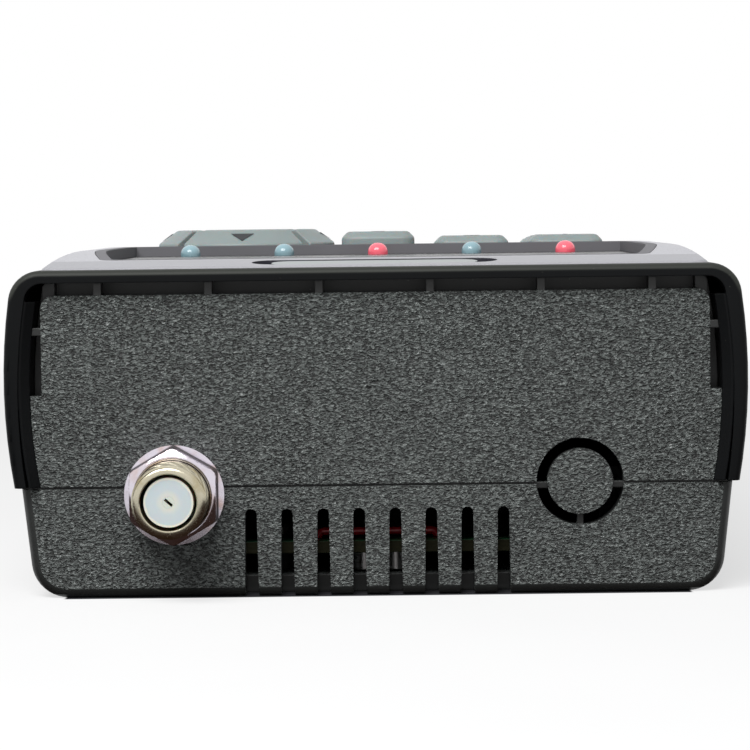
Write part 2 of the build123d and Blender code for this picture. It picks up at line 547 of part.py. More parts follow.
# Rear shell: tub, groove along the parting, air slots, bosses, battery bay, blanked socket
with BuildPart() as rear_shell:
    extrude(
        placed(rear_section(0, 0, REAR_CORNER_RADIUS, PARTING_Z), WALL_RECESS),
        amount=-(FAR_DEPTH - WALL_RECESS),
    )
    for end_face in (rear_shell.faces().sort_by(Axis.Y)[0], rear_shell.faces().sort_by(Axis.Y)[-1]):
        rims = end_face.edges().filter_by(lambda edge: edge.center().Z < PARTING_Z - SEAT_GAP)
        fillet(rims, radius=REAR_END_RADIUS)
    extrude(
        placed(rear_section(REAR_WALL, FLOOR, REAR_INNER_RADIUS, PARTING_Z + OVERRUN), INNER_START),
        amount=-(INNER_END - INNER_START),
        mode=Mode.SUBTRACT,
    )
    groove_start = WALL_RECESS + PARTING_GROOVE_DEPTH
    groove_end = FAR_DEPTH - PARTING_GROOVE_DEPTH
    with BuildSketch(Plane.XY.offset(PARTING_Z - PARTING_GROOVE)):
        with Locations((0, at(BODY_LENGTH / 2))):
            Rectangle(2 * CASE_HALF_WIDTH, BODY_LENGTH)
            Rectangle(
                2 * (REAR_HALF_TOP - PARTING_GROOVE_DEPTH),
                groove_end - groove_start,
                mode=Mode.SUBTRACT,
            )
    extrude(amount=PARTING_GROOVE, mode=Mode.SUBTRACT)
    bay_outer_half = BAY_HALF + BAY_WALL
    bay_top_z = BAY_CEILING_Z + BAY_END_WALL
    with BuildSketch(end_plane(BAY_START)):
        with Locations((0, (FLOOR + bay_top_z) / 2)):
            Rectangle(2 * bay_outer_half, bay_top_z - FLOOR)
    extrude(amount=-(INNER_END - BAY_START))
    with BuildSketch(end_plane(BAY_START + BAY_END_WALL)):
        with Locations((0, (FLOOR + BAY_CEILING_Z) / 2)):
            Rectangle(2 * BAY_HALF, BAY_CEILING_Z - FLOOR)
    extrude(amount=-(INNER_END - BAY_START - 2 * BAY_END_WALL), mode=Mode.SUBTRACT)
    with BuildSketch(end_plane(DOOR_START - SLIP_GAP)):
        with Locations((0, (DOOR_THICKNESS + SLIP_GAP) / 2 - OVERRUN / 2)):
            Rectangle(2 * (DOOR_HALF + SLIP_GAP), DOOR_THICKNESS + SLIP_GAP + OVERRUN)
        with Locations((0, (DOOR_TONGUE_Z + DOOR_THICKNESS) / 2)):
            Rectangle(
                2 * (DOOR_HALF + DOOR_TONGUE + SLIP_GAP),
                DOOR_THICKNESS - DOOR_TONGUE_Z + 2 * SLIP_GAP,
            )
    extrude(amount=-(BODY_LENGTH - DOOR_START), mode=Mode.SUBTRACT)
    with BuildSketch(end_plane(BAY_START)):
        with Locations((PLUG_X, LEAD_Z)):
            Rectangle(2 * LEAD_PITCH + 2 * LEAD_RADIUS, LEAD_PITCH + 2 * LEAD_RADIUS)
    extrude(amount=-(BAY_END_WALL + OVERRUN), mode=Mode.SUBTRACT)
    for depth in CASE_SCREW_DEPTHS:
        with BuildSketch(Plane.XY.offset(0)):
            with Locations((-CASE_SCREW_X, at(depth)), (CASE_SCREW_X, at(depth))):
                Circle(BOSS_RADIUS)
        extrude(amount=PARTING_Z)
        with Locations((-CASE_SCREW_X, at(depth), 0), (CASE_SCREW_X, at(depth), 0)):
            Cylinder(
                SCREW_RADIUS + SLIP_GAP,
                PARTING_Z + OVERRUN,
                align=(Align.CENTER, Align.CENTER, Align.MIN),
                mode=Mode.SUBTRACT,
            )
            Cylinder(
                SCREW_HEAD_RADIUS + SLIP_GAP,
                SCREW_SINK + SCREW_HEAD,
                align=(Align.CENTER, Align.CENTER, Align.MIN),
                mode=Mode.SUBTRACT,
            )
    with BuildSketch(Plane.XY.offset(FLOOR)):
        with Locations(*[(x, at(depth)) for x, depth in BOARD_POSTS]):
            Circle(BOARD_POST_RADIUS)
    extrude(amount=MAIN_BOARD_BASE_Z - FLOOR)
    with BuildSketch(Plane.XY.offset(FLOOR)):
        with Locations(*[(x, at(depth)) for x, depth in BOARD_POSTS]):
            Circle(BOARD_SCREW_RADIUS)
    extrude(amount=MAIN_BOARD_BASE_Z - FLOOR, mode=Mode.SUBTRACT)
    vent_places = GridLocations(VENT_PITCH, VENT_PITCH, VENT_COUNT, 1).locations
    vent_cap = VENT_TOP_Z - VENT_TOP_WIDTH / 2
    vent_lean = (VENT_BASE_WIDTH - VENT_TOP_WIDTH) / 2 / vent_cap
    vent_low = VENT_BASE_WIDTH / 2 + vent_lean * OVERRUN
    with BuildSketch(end_plane(0)):
        with Locations(*vent_places):
            Polygon(
                (-vent_low, -OVERRUN),
                (vent_low, -OVERRUN),
                (VENT_TOP_WIDTH / 2, vent_cap),
                (-VENT_TOP_WIDTH / 2, vent_cap),
                align=None,
            )
        with Locations((0, vent_cap)):
            with Locations(*vent_places):
                Circle(VENT_TOP_WIDTH / 2)
    extrude(amount=-(WALL_RECESS + VENT_UNDER), mode=Mode.SUBTRACT)
    with BuildSketch(end_plane(0)):
        with Locations((SOCKET_X, SOCKET_Z)):
            Circle(SOCKET_THREAD_DIAMETER / 2 + SEAT_GAP)
        with Locations((BLANK_X, BLANK_Z)):
            Circle(BLANK_OUTER_RADIUS)
    extrude(amount=-(INNER_START + SEAT_GAP), mode=Mode.SUBTRACT)
    with BuildSketch(end_plane(WALL_RECESS)):
        with Locations((BLANK_X, BLANK_Z)):
            Circle(BLANK_DISC_RADIUS)
    extrude(amount=-BLANK_DISC_THICKNESS)
    tab_reach = BLANK_OUTER_RADIUS + SEAT_GAP
    with BuildSketch(end_plane(WALL_RECESS + BLANK_TAB_RECESS)):
        with Locations((BLANK_X, BLANK_Z - BLANK_TAB / 2 - SEAT_GAP)):
            Rectangle(2 * tab_reach, BLANK_TAB)
        with Locations((BLANK_X, BLANK_Z - tab_reach / 2)):
            Rectangle(BLANK_TAB, tab_reach)
    extrude(amount=-(BLANK_DISC_THICKNESS - BLANK_TAB_RECESS))
    supply_hole = SUPPLY_JACK_BORE_RADIUS + SIDE_HOLE_GAP
    with BuildSketch(Plane.YZ.offset(JACK_FRONT_X)):
        with Locations((at(SUPPLY_JACK_DEPTH), SUPPLY_JACK_Z)):
            Circle(supply_hole)
        with Locations((at(SOUND_JACK_DEPTH), SOUND_JACK_Z)):
            Circle(SOUND_JACK_BORE_RADIUS + 2 * SIDE_HOLE_GAP)
        with Locations((at(DATA_SOCKET_DEPTH), MAIN_BOARD_TOP_Z + DATA_SOCKET_HEIGHT / 2)):
            Rectangle(DATA_SOCKET_WIDTH + 2 * SIDE_HOLE_GAP, DATA_SOCKET_HEIGHT + 2 * SIDE_HOLE_GAP)
    extrude(amount=REAR_WALL + OVERRUN, mode=Mode.SUBTRACT)
    with BuildSketch(Plane.YZ.offset(-SWITCH_FACE_X)):
        with Locations((at(SWITCH_DEPTH), SWITCH_Z)):
            Rectangle(
                SWITCH_KNOB_LENGTH + SWITCH_TRAVEL + 2 * SIDE_HOLE_GAP,
                SWITCH_KNOB_HEIGHT + 2 * SIDE_HOLE_GAP,
            )
    extrude(amount=-(REAR_WALL + 2 * OVERRUN), mode=Mode.SUBTRACT)
finish(rear_shell.part, "rear_shell")

# Front shell: textured end walls, tray walls, slit ribs, bosses and board rails
liner_inset = HOOD_SIDE + SEAT_GAP / 2
with BuildSketch(Plane.XY) as end_wall:
    add(hood_section(liner_inset, HOOD_TOP, PARTING_Z, TRAY_CORNER_RADIUS))
    with Locations((0, SLIT_START_Z)):
        Rectangle(2 * CASE_HALF_WIDTH, SLIT_START_Z, align=(Align.CENTER, Align.MAX), mode=Mode.INTERSECT)
    with Locations((0, PARTING_Z)):
        Rectangle(2 * TRAY_HALF, END_WALL_TOP_Z - PARTING_Z, align=(Align.CENTER, Align.MIN))
    fillet(end_wall.vertices().group_by(Axis.Y)[-1], radius=TRAY_CORNER_RADIUS)
with BuildSketch(Plane.XY) as tray_walls:
    add(hood_section(liner_inset, HOOD_TOP, PARTING_Z, TRAY_CORNER_RADIUS))
    with Locations((0, PARTING_Z)):
        Rectangle(2 * CASE_HALF_WIDTH, FOOT_FLANGE, align=(Align.CENTER, Align.MIN), mode=Mode.INTERSECT)
        Rectangle(2 * TRAY_HALF, HOOD_UNDER_Z - PARTING_Z, align=(Align.CENTER, Align.MIN))
    fillet(tray_walls.vertices().group_by(Axis.Y)[-1], radius=TRAY_EDGE_RADIUS)
    with Locations((0, PARTING_Z)):
        Rectangle(
            2 * TRAY_INNER_HALF,
            HOOD_UNDER_Z - PARTING_Z,
            align=(Align.CENTER, Align.MIN),
            mode=Mode.SUBTRACT,
        )
with BuildSketch(Plane.XY) as bulkhead:
    add(hood_section(liner_inset, HOOD_TOP, PARTING_Z, TRAY_CORNER_RADIUS))
    with Locations((0, PARTING_Z)):
        Rectangle(
            2 * TRAY_INNER_HALF,
            BULKHEAD_BASE_Z - PARTING_Z,
            align=(Align.CENTER, Align.MIN),
            mode=Mode.SUBTRACT,
        )
with BuildSketch(Plane.XY) as side_ribs:
    add(hood_section(liner_inset, HOOD_TOP, PARTING_Z, TRAY_CORNER_RADIUS))
    with Locations((0, SIDE_RIB_Z)):
        Rectangle(2 * CASE_HALF_WIDTH, RIB_WIDTH, mode=Mode.INTERSECT)
rib_places = GridLocations(RIB_PITCH, RIB_PITCH, RIB_COUNT, 1).locations
bulkhead_end = BULKHEAD_DEPTH + BULKHEAD
with BuildPart() as front_shell:
    for start in (WALL_RECESS, INNER_END):
        extrude(placed(end_wall.sketch, start), amount=-END_WALL)
        with BuildSketch(end_plane(start)):
            with Locations((0, END_WALL_TOP_Z)):
                with Locations(*rib_places):
                    Rectangle(RIB_WIDTH, HOOD_UNDER_Z - END_WALL_TOP_Z, align=(Align.CENTER, Align.MIN))
        extrude(amount=-END_WALL)
        extrude(placed(side_ribs.sketch, start), amount=-END_WALL)
    extrude(placed(tray_walls.sketch, INNER_START), amount=-(INNER_END - INNER_START))
    for start in (BULKHEAD_DEPTH, BODY_LENGTH - bulkhead_end):
        extrude(placed(bulkhead.sketch, start), amount=-BULKHEAD)
    with BuildSketch(end_plane(BULKHEAD_DEPTH)):
        with Locations((TRAY_INNER_HALF, UPPER_BOARD_BASE_Z)):
            Rectangle(RAIL_WIDTH, RAIL_WIDTH, align=(Align.MAX, Align.MAX))
        with Locations((-TRAY_INNER_HALF, UPPER_BOARD_BASE_Z)):
            Rectangle(RAIL_WIDTH, RAIL_WIDTH, align=(Align.MIN, Align.MAX))
    extrude(amount=-(BODY_LENGTH - bulkhead_end - BULKHEAD_DEPTH))
    boss_places = [(x, at(depth)) for depth in CASE_SCREW_DEPTHS for x in (-CASE_SCREW_X, CASE_SCREW_X)]
    with BuildSketch(Plane.XY.offset(PARTING_Z)):
        with Locations(*boss_places):
            Circle(BOSS_RADIUS)
    extrude(amount=BOSS_TOP_Z - PARTING_Z)
    with BuildSketch(Plane.XY.offset(PARTING_Z)):
        with Locations(*boss_places):
            Circle(SCREW_RADIUS + SEAT_GAP / 2)
    extrude(amount=SCREW_TIP_Z + SEAT_GAP - PARTING_Z, mode=Mode.SUBTRACT)
    with BuildSketch(end_plane(0)):
        with Locations((SOCKET_X, SOCKET_Z)):
            Circle(SOCKET_THREAD_DIAMETER / 2 + SEAT_GAP)
        with Locations((BLANK_X, BLANK_Z)):
            Circle(BLANK_OUTER_RADIUS)
    extrude(amount=-(INNER_START + SEAT_GAP), mode=Mode.SUBTRACT)
finish(front_shell.part, "front_shell")

# Hood: open below, with side liners inside its rims and the opening for the face
with BuildSketch(Plane.XY) as hood_liner:
    add(hood_section(HOOD_BAND, HOOD_TOP, PARTING_Z, HOOD_CORNER_RADIUS - HOOD_BAND))
    add(hood_section(HOOD_SIDE, HOOD_TOP, PARTING_Z, TRAY_CORNER_RADIUS), mode=Mode.SUBTRACT)
    with Locations((0, PARTING_Z)):
        Rectangle(
            2 * CASE_HALF_WIDTH,
            LINER_TOP_Z - PARTING_Z,
            align=(Align.CENTER, Align.MIN),
            mode=Mode.INTERSECT,
        )
with BuildPart() as hood:
    extrude(placed(hood_section(0, 0, PARTING_Z, HOOD_CORNER_RADIUS), 0), amount=-BODY_LENGTH)
    for end_face in (hood.faces().sort_by(Axis.Y)[0], hood.faces().sort_by(Axis.Y)[-1]):
        rims = end_face.edges().filter_by(lambda edge: edge.center().Z > PARTING_Z + SEAT_GAP)
        fillet(rims, radius=HOOD_EDGE_RADIUS)
    hollow = hood_section(HOOD_BAND, HOOD_TOP, PARTING_Z - OVERRUN, HOOD_CORNER_RADIUS - HOOD_BAND)
    extrude(placed(hollow, -OVERRUN), amount=-(BODY_LENGTH + 2 * OVERRUN), mode=Mode.SUBTRACT)
    with BuildPart(mode=Mode.PRIVATE) as liners:
        extrude(placed(hood_liner.sketch, LINER_START), amount=-(BODY_LENGTH - 2 * LINER_START))
        liner_middle = CASE_HALF_WIDTH - (HOOD_BAND + HOOD_SIDE) / 2
        for end_faces in (liners.faces().group_by(Axis.Y)[0], liners.faces().group_by(Axis.Y)[-1]):
            uprights = end_faces.edges().filter_by(lambda edge: edge.length > (LINER_TOP_Z - PARTING_Z) / 2)
            inner_uprights = uprights.filter_by(lambda edge: abs(edge.center().X) < liner_middle)
            chamfer(inner_uprights, length=LINER_CHAMFER)
    add(liners.part)
    with BuildSketch(Plane.XY.offset(HOOD_UNDER_Z - OVERRUN)):
        with Locations((0, at(BODY_LENGTH / 2))):
            RectangleRounded(
                2 * (FACE_HALF_WIDTH + SEAT_GAP),
                BODY_LENGTH - 2 * (FACE_START - SEAT_GAP),
                FACE_PLAN_RADIUS + SEAT_GAP,
            )
    extrude(amount=FACE_PEAK_Z - HOOD_UNDER_Z + 2 * OVERRUN, mode=Mode.SUBTRACT)
finish(hood.part, "hood")

# Silver face: an arched frame with a barrel opening, an inner ledge and a badge recess
with BuildPart() as face_plate:
    extrude(Plane.YZ * face_profile(HOOD_UNDER_Z), amount=FACE_HALF_WIDTH, both=True)
    with BuildSketch(Plane.XY.offset(HOOD_UNDER_Z)):
        with Locations((0, at(BODY_LENGTH / 2))):
            RectangleRounded(2 * FACE_HALF_WIDTH, BODY_LENGTH - 2 * FACE_START, FACE_PLAN_RADIUS)
    extrude(amount=FACE_PEAK_Z - HOOD_UNDER_Z + OVERRUN, mode=Mode.INTERSECT)
    long_tops = face_plate.edges().filter_by(
        lambda edge: abs(edge.center().X) > FACE_HALF_WIDTH - SEAT_GAP and edge.center().Z > FACE_EDGE_Z
    )
    fillet(long_tops, radius=FACE_EDGE_RADIUS)
    extrude(
        Plane.XY.offset(FACE_LEDGE_TOP_Z) * opening_outline(0, OPENING_START, OPENING_END),
        amount=FACE_PEAK_Z - FACE_LEDGE_TOP_Z + OVERRUN,
        mode=Mode.SUBTRACT,
    )
    extrude(
        Plane.XY.offset(HOOD_UNDER_Z) * opening_outline(FACE_LEDGE, OPENING_START, OPENING_END),
        amount=FACE_PEAK_Z - HOOD_UNDER_Z,
        mode=Mode.SUBTRACT,
    )
    with BuildSketch(Plane.XY.offset(BADGE_FLOOR_Z)):
        with Locations((0, at(BADGE_DEPTH))):
            SlotOverall(BADGE_LENGTH, BADGE_WIDTH)
    extrude(amount=FACE_PEAK_Z - BADGE_FLOOR_Z + OVERRUN, mode=Mode.SUBTRACT)
finish(face_plate.part, "face_plate")

# Bare badge plate in its recess, shorter than it, with a top that follows the arch
badge_side = Plane(origin=(0, 0, -BADGE_SINK), x_dir=(0, 1, 0), z_dir=(1, 0, 0))
with BuildPart() as badge_plate:
    with BuildSketch(Plane.XY.offset(BADGE_FLOOR_Z)):
        with Locations((0, at(BADGE_DEPTH))):
            SlotOverall(BADGE_LENGTH - 2 * BADGE_END_GAP, BADGE_WIDTH - 2 * BADGE_SIDE_GAP)
    extrude(amount=FACE_PEAK_Z - BADGE_FLOOR_Z)
    extrude(
        badge_side * face_profile(HOOD_UNDER_Z),
        amount=BADGE_LENGTH,
        both=True,
        mode=Mode.INTERSECT,
    )
finish(badge_plate.part, "badge_plate")

# Window over the display and the indicator lamps
led_places = GridLocations(LED_PITCH, LED_PITCH, LED_COUNT, 1).locations
with BuildPart() as display_window:
    extrude(
        Plane.XY.offset(FACE_LEDGE_TOP_Z) * opening_outline(SEAT_GAP, OPENING_START, LENS_END),
        amount=LENS_TOP_Z - FACE_LEDGE_TOP_Z,
    )
    with BuildSketch(Plane.XY.offset(FACE_LEDGE_TOP_Z)):
        with Locations((0, at(LED_DEPTH))):
            with Locations(*led_places):
                Circle(LED_DIAMETER / 2 + SEAT_GAP)
    extrude(amount=LENS_TOP_Z - FACE_LEDGE_TOP_Z, mode=Mode.SUBTRACT)
finish(display_window.part, "display_window")

# Display: a frame on the upper board with its glass let in
display_place = (0, at(DISPLAY_START + DISPLAY_LENGTH / 2))
glass_base_z = UPPER_BOARD_TOP_Z + DISPLAY_FRAME_THICKNESS - GLASS_THICKNESS
with BuildPart() as display_frame:
    with BuildSketch(Plane.XY.offset(UPPER_BOARD_TOP_Z)):
        with Locations(display_place):
            Rectangle(2 * DISPLAY_HALF_WIDTH, DISPLAY_LENGTH)
    extrude(amount=DISPLAY_FRAME_THICKNESS)
    with BuildSketch(Plane.XY.offset(glass_base_z)):
        with Locations(display_place):
            Rectangle(
                2 * (DISPLAY_HALF_WIDTH - GLASS_MARGIN + SEAT_GAP),
                DISPLAY_LENGTH - 2 * (GLASS_MARGIN - SEAT_GAP),
            )
    extrude(amount=GLASS_THICKNESS, mode=Mode.SUBTRACT)
finish(display_frame.part, "display_frame")

with BuildPart() as display_glass:
    with BuildSketch(Plane.XY.offset(glass_base_z)):
        with Locations(display_place):
            Rectangle(2 * (DISPLAY_HALF_WIDTH - GLASS_MARGIN), DISPLAY_LENGTH - 2 * GLASS_MARGIN)
    extrude(amount=GLASS_THICKNESS)
finish(display_glass.part, "display_glass")

# Indicator lamps: domes on collars, in two colours
red_places = [led_places[index] for index in RED_LEDS]
blue_places = [place for index, place in enumerate(led_places) if index not in RED_LEDS]
for lamp_name, lamp_places in (("red_lamps", red_places), ("blue_lamps", blue_places)):
    with BuildPart() as lamps:
        with BuildSketch(Plane.XY.offset(UPPER_BOARD_TOP_Z)):
            with Locations((0, at(LED_DEPTH))):
                with Locations(*lamp_places):
                    Circle(LED_DIAMETER / 2)
        extrude(amount=LENS_TOP_Z + LED_RISE - UPPER_BOARD_TOP_Z)
        fillet(lamps.edges().group_by(Axis.Z)[-1], radius=LED_DOME_RADIUS)
        with BuildSketch(Plane.XY.offset(UPPER_BOARD_TOP_Z)):
            with Locations((0, at(LED_DEPTH))):
                with Locations(*lamp_places):
                    Circle(LED_DIAMETER / 2 + LED_COLLAR)
        extrude(amount=LED_COLLAR_HEIGHT)
    finish(lamps.part, lamp_name)

# Upper board, carried on the rails of the front shell
with BuildPart() as upper_board:
    with BuildSketch(Plane.XY.offset(UPPER_BOARD_BASE_Z)):
        with Locations((0, at((UPPER_BOARD_START + UPPER_BOARD_END) / 2))):
            Rectangle(2 * UPPER_BOARD_HALF, UPPER_BOARD_END - UPPER_BOARD_START)
    extrude(amount=BOARD_THICKNESS)
finish(upper_board.part, "upper_board")

# Places of the straight keys: name, x, depth and rise over the face.
# The face is read from the far end, so each row runs from +X to -X.
number_names = [["key_1", "key_2", "key_3"], ["key_4", "key_5", "key_6"], ["key_7", "key_8", "key_9"]]
number_names.append(["key_back", "key_0", "key_enter"])
straight_keys = []
for row, names in enumerate(number_names):
    for name, x, rise in zip(names, KEY_COLUMNS, KEY_COLUMN_RISES):
        straight_keys.append((name, x, KEY_ROW_START + row * KEY_ROW_PITCH, rise))
for name, x in zip(("key_menu", "key_power"), FUNCTION_COLUMNS):
    straight_keys.append((name, x, KEY_LAST_ROW, FUNCTION_RISE))

# The arrow keys by the angle at which each sector starts
ring_quarter = 360 / RING_KEY_COUNT
ring_keys = []
for index, name in enumerate(("key_left", "key_down", "key_right", "key_up")):
    ring_keys.append((name, index * ring_quarter - RING_KEY_ARC / 2))
ring_stem_radius = (RING_RADIUS + RING_INNER_RADIUS) / 2
ring_stems = []
for name, start_angle in ring_keys:
    middle = radians(start_angle + RING_KEY_ARC / 2)
    stem_x = RING_X + ring_stem_radius * cos(middle)
    ring_stems.append((stem_x, at(RING_DEPTH) + ring_stem_radius * sin(middle)))
stem_places = [(x, at(depth)) for name, x, depth, rise in straight_keys]
stem_places.extend(ring_stems)
stem_places.append((RING_X, at(RING_DEPTH)))

# Panel round the keys, flush with the arched face, and its bezel on the rim of the window
with BuildPart() as key_panel:
    extrude(Plane.YZ * face_profile(FACE_LEDGE_TOP_Z), amount=OPENING_WIDE_HALF + OVERRUN, both=True)
    extrude(
        Plane.XY.offset(FACE_LEDGE_TOP_Z) * opening_outline(SEAT_GAP, OPENING_START, OPENING_END),
        amount=FACE_PEAK_Z,
        mode=Mode.INTERSECT,
    )
    extrude(
        Plane.XY.offset(FACE_LEDGE_TOP_Z) * opening_outline(0, OPENING_START, PANEL_START),
        amount=LENS_THICKNESS,
        mode=Mode.SUBTRACT,
    )
    extrude(
        Plane.XY.offset(FACE_LEDGE_TOP_Z) * opening_outline(BEZEL_WIDTH, OPENING_START, PANEL_START),
        amount=FACE_PEAK_Z,
        mode=Mode.SUBTRACT,
    )
    with BuildSketch(Plane.XY.offset(FACE_LEDGE_TOP_Z)):
        with Locations(*[(x, at(depth)) for name, x, depth, rise in straight_keys]):
            RectangleRounded(KEY_WIDTH + 2 * KEY_GAP, KEY_LENGTH + 2 * KEY_GAP, KEY_CORNER_RADIUS + KEY_GAP)
        with Locations((RING_X, at(RING_DEPTH))):
            Circle(RING_RADIUS + KEY_GAP)
    extrude(amount=FACE_PEAK_Z, mode=Mode.SUBTRACT)
finish(key_panel.part, "key_panel")

# Rubber mat on the upper board, with a well for each key stem
with BuildPart() as key_mat:
    with BuildSketch(Plane.XY.offset(UPPER_BOARD_TOP_Z)):
        with Locations((0, at((MAT_START + MAT_END) / 2))):
            Rectangle(2 * MAT_HALF, MAT_END - MAT_START)
        with Locations(*stem_places):
            Circle(KEY_STEM_RADIUS + KEY_STEM_GAP, mode=Mode.SUBTRACT)
    extrude(amount=MAT_THICKNESS)
finish(key_mat.part, "key_mat")

# Straight keys: bevelled cap, flange under the panel and stem over the board
for name, x, depth, rise in straight_keys:
    top_z = face_height(depth) + rise
    with BuildPart() as key:
        with BuildSketch(Plane.XY.offset(KEY_FLANGE_BASE_Z)):
            with Locations((x, at(depth))):
                RectangleRounded(KEY_WIDTH, KEY_LENGTH, KEY_CORNER_RADIUS)
        extrude(amount=top_z - KEY_FLANGE_BASE_Z)
        chamfer(key.edges().group_by(Axis.Z)[-1], length=KEY_CHAMFER)
        with BuildSketch(Plane.XY.offset(KEY_FLANGE_BASE_Z)):
            with Locations((x, at(depth))):
                RectangleRounded(
                    KEY_WIDTH + 2 * KEY_FLANGE,
                    KEY_LENGTH + 2 * KEY_FLANGE,
                    KEY_CORNER_RADIUS + KEY_FLANGE,
                )
        extrude(amount=KEY_FLANGE_THICKNESS)
        with BuildSketch(Plane.XY.offset(KEY_STEM_BASE_Z)):
            with Locations((x, at(depth))):
                Circle(KEY_STEM_RADIUS)
        extrude(amount=KEY_FLANGE_BASE_Z - KEY_STEM_BASE_Z)
    finish(key.part, name)

# Arrow keys: sectors of one turned ring
ring_axis = Axis((RING_X, at(RING_DEPTH), 0), (0, 0, 1))
ring_lip_z = face_height(RING_DEPTH) + RING_LIP_RISE
for (name, start_angle), stem in zip(ring_keys, ring_stems):
    turn = radians(start_angle)
    ring_plane = Plane(
        origin=(RING_X, at(RING_DEPTH), 0),
        x_dir=(cos(turn), sin(turn), 0),
        z_dir=(sin(turn), -cos(turn), 0),
    )
    with BuildPart() as arrow_key:
        with BuildSketch(ring_plane):
            Polygon(
                (RING_INNER_RADIUS, KEY_FLANGE_BASE_Z),
                (RING_RADIUS + KEY_FLANGE, KEY_FLANGE_BASE_Z),
                (RING_RADIUS + KEY_FLANGE, KEY_FLANGE_TOP_Z),
                (RING_RADIUS, KEY_FLANGE_TOP_Z),
                (RING_RADIUS, ring_lip_z),
                (RING_CROWN_RADIUS, RING_TOP_Z),
                (RING_INNER_RADIUS, OK_TOP_Z),
                align=None,
            )
        revolve(axis=ring_axis, revolution_arc=RING_KEY_ARC)
        with BuildSketch(Plane.XY.offset(KEY_STEM_BASE_Z)):
            with Locations(stem):
                Circle(KEY_STEM_RADIUS)
        extrude(amount=KEY_FLANGE_BASE_Z - KEY_STEM_BASE_Z)
    finish(arrow_key.part, name)

# Round key in the middle of the ring
with BuildPart() as key_select:
    with BuildSketch(Plane.XY.offset(KEY_FLANGE_BASE_Z)):
        with Locations((RING_X, at(RING_DEPTH))):
            Circle(OK_RADIUS)
    extrude(amount=OK_TOP_Z - KEY_FLANGE_BASE_Z)
    chamfer(key_select.edges().group_by(Axis.Z)[-1], length=OK_CHAMFER)
    with BuildSketch(Plane.XY.offset(KEY_STEM_BASE_Z)):
        with Locations((RING_X, at(RING_DEPTH))):
            Circle(KEY_STEM_RADIUS)
    extrude(amount=KEY_FLANGE_BASE_Z - KEY_STEM_BASE_Z)
finish(key_select.part, "key_select")

# Main board on its four posts
post_places = [(x, at(depth)) for x, depth in BOARD_POSTS]
with BuildPart() as main_board:
    with BuildSketch(Plane.XY.offset(MAIN_BOARD_BASE_Z)):
        with Locations((0, at((MAIN_BOARD_START + MAIN_BOARD_END) / 2))):
            Rectangle(2 * MAIN_BOARD_HALF, MAIN_BOARD_END - MAIN_BOARD_START)
        with Locations(*boss_places):
            Circle(BOSS_RADIUS + BOSS_GAP, mode=Mode.SUBTRACT)
        with Locations(*post_places):
            Circle(BOARD_SCREW_RADIUS + SEAT_GAP, mode=Mode.SUBTRACT)
    extrude(amount=BOARD_THICKNESS)
finish(main_board.part, "main_board")

with BuildPart() as board_screws:
    with BuildSketch(Plane.XY.offset(MAIN_BOARD_TOP_Z)):
        with Locations(*post_places):
            Circle(BOARD_SCREW_HEAD_RADIUS)
    extrude(amount=BOARD_SCREW_HEAD)
    with BuildSketch(Plane.XY.offset(MAIN_BOARD_TOP_Z)):
        with Locations(*post_places):
            Circle(BOARD_SCREW_RADIUS)
    extrude(amount=-(MAIN_BOARD_TOP_Z - FLOOR))
finish(board_screws.part, "board_screws")

# Tuner box: a sheet metal box open below, with a hole for the socket
tuner_width = TUNER_RIGHT_X - TUNER_LEFT_X
tuner_place = ((TUNER_LEFT_X + TUNER_RIGHT_X) / 2, at(TUNER_START + TUNER_LENGTH / 2))
with BuildPart() as tuner_box:
    with BuildSketch(Plane.XY.offset(MAIN_BOARD_TOP_Z)):
        with Locations(tuner_place):
            Rectangle(tuner_width, TUNER_LENGTH)
    extrude(amount=TUNER_HEIGHT)
    with BuildSketch(Plane.XY.offset(MAIN_BOARD_TOP_Z)):
        with Locations(tuner_place):
            Rectangle(tuner_width - 2 * TUNER_SHEET, TUNER_LENGTH - 2 * TUNER_SHEET)
    extrude(amount=TUNER_HEIGHT - TUNER_SHEET, mode=Mode.SUBTRACT)
    with BuildSketch(Plane.XY.offset(MAIN_BOARD_TOP_Z + TUNER_HEIGHT)):
        with Locations(tuner_place):
            with GridLocations(TUNER_VENT_PITCH, TUNER_VENT_PITCH, 2, 5):
                Circle(TUNER_VENT_RADIUS)
    extrude(amount=-TUNER_SHEET, mode=Mode.SUBTRACT)
    with BuildSketch(end_plane(TUNER_START)):
        with Locations((SOCKET_X, SOCKET_Z)):
            Circle(SOCKET_BORE_DIAMETER / 2)
    extrude(amount=-TUNER_SHEET, mode=Mode.SUBTRACT)
finish(tuner_box.part, "tuner_box")

# Aerial socket, turned about its own axis
socket_tip = WALL_RECESS - SOCKET_REACH
socket_axis = Axis((SOCKET_X, 0, SOCKET_Z), (0, 1, 0))
socket_plane = Plane(origin=(SOCKET_X, 0, SOCKET_Z), x_dir=(0, 1, 0), z_dir=(0, 0, 1))
thread_radius = SOCKET_THREAD_DIAMETER / 2
bore_radius = SOCKET_BORE_DIAMETER / 2
shank_radius = thread_radius - SOCKET_RUN_OUT
nut_back = WALL_RECESS - WASHER_THICKNESS
shank_start = nut_back - NUT_THICKNESS - SOCKET_RUN_OUT_GAP
with BuildPart() as socket_barrel:
    with BuildSketch(socket_plane):
        Polygon(
            (at(socket_tip), bore_radius),
            (at(socket_tip), thread_radius - SOCKET_CHAMFER),
            (at(socket_tip + SOCKET_CHAMFER), thread_radius),
            (at(shank_start), thread_radius),
            (at(shank_start + SOCKET_RUN_OUT), shank_radius),
            (at(TUNER_START), shank_radius),
            (at(TUNER_START), bore_radius),
            align=None,
        )
    revolve(axis=socket_axis)
finish(socket_barrel.part, "socket_barrel")

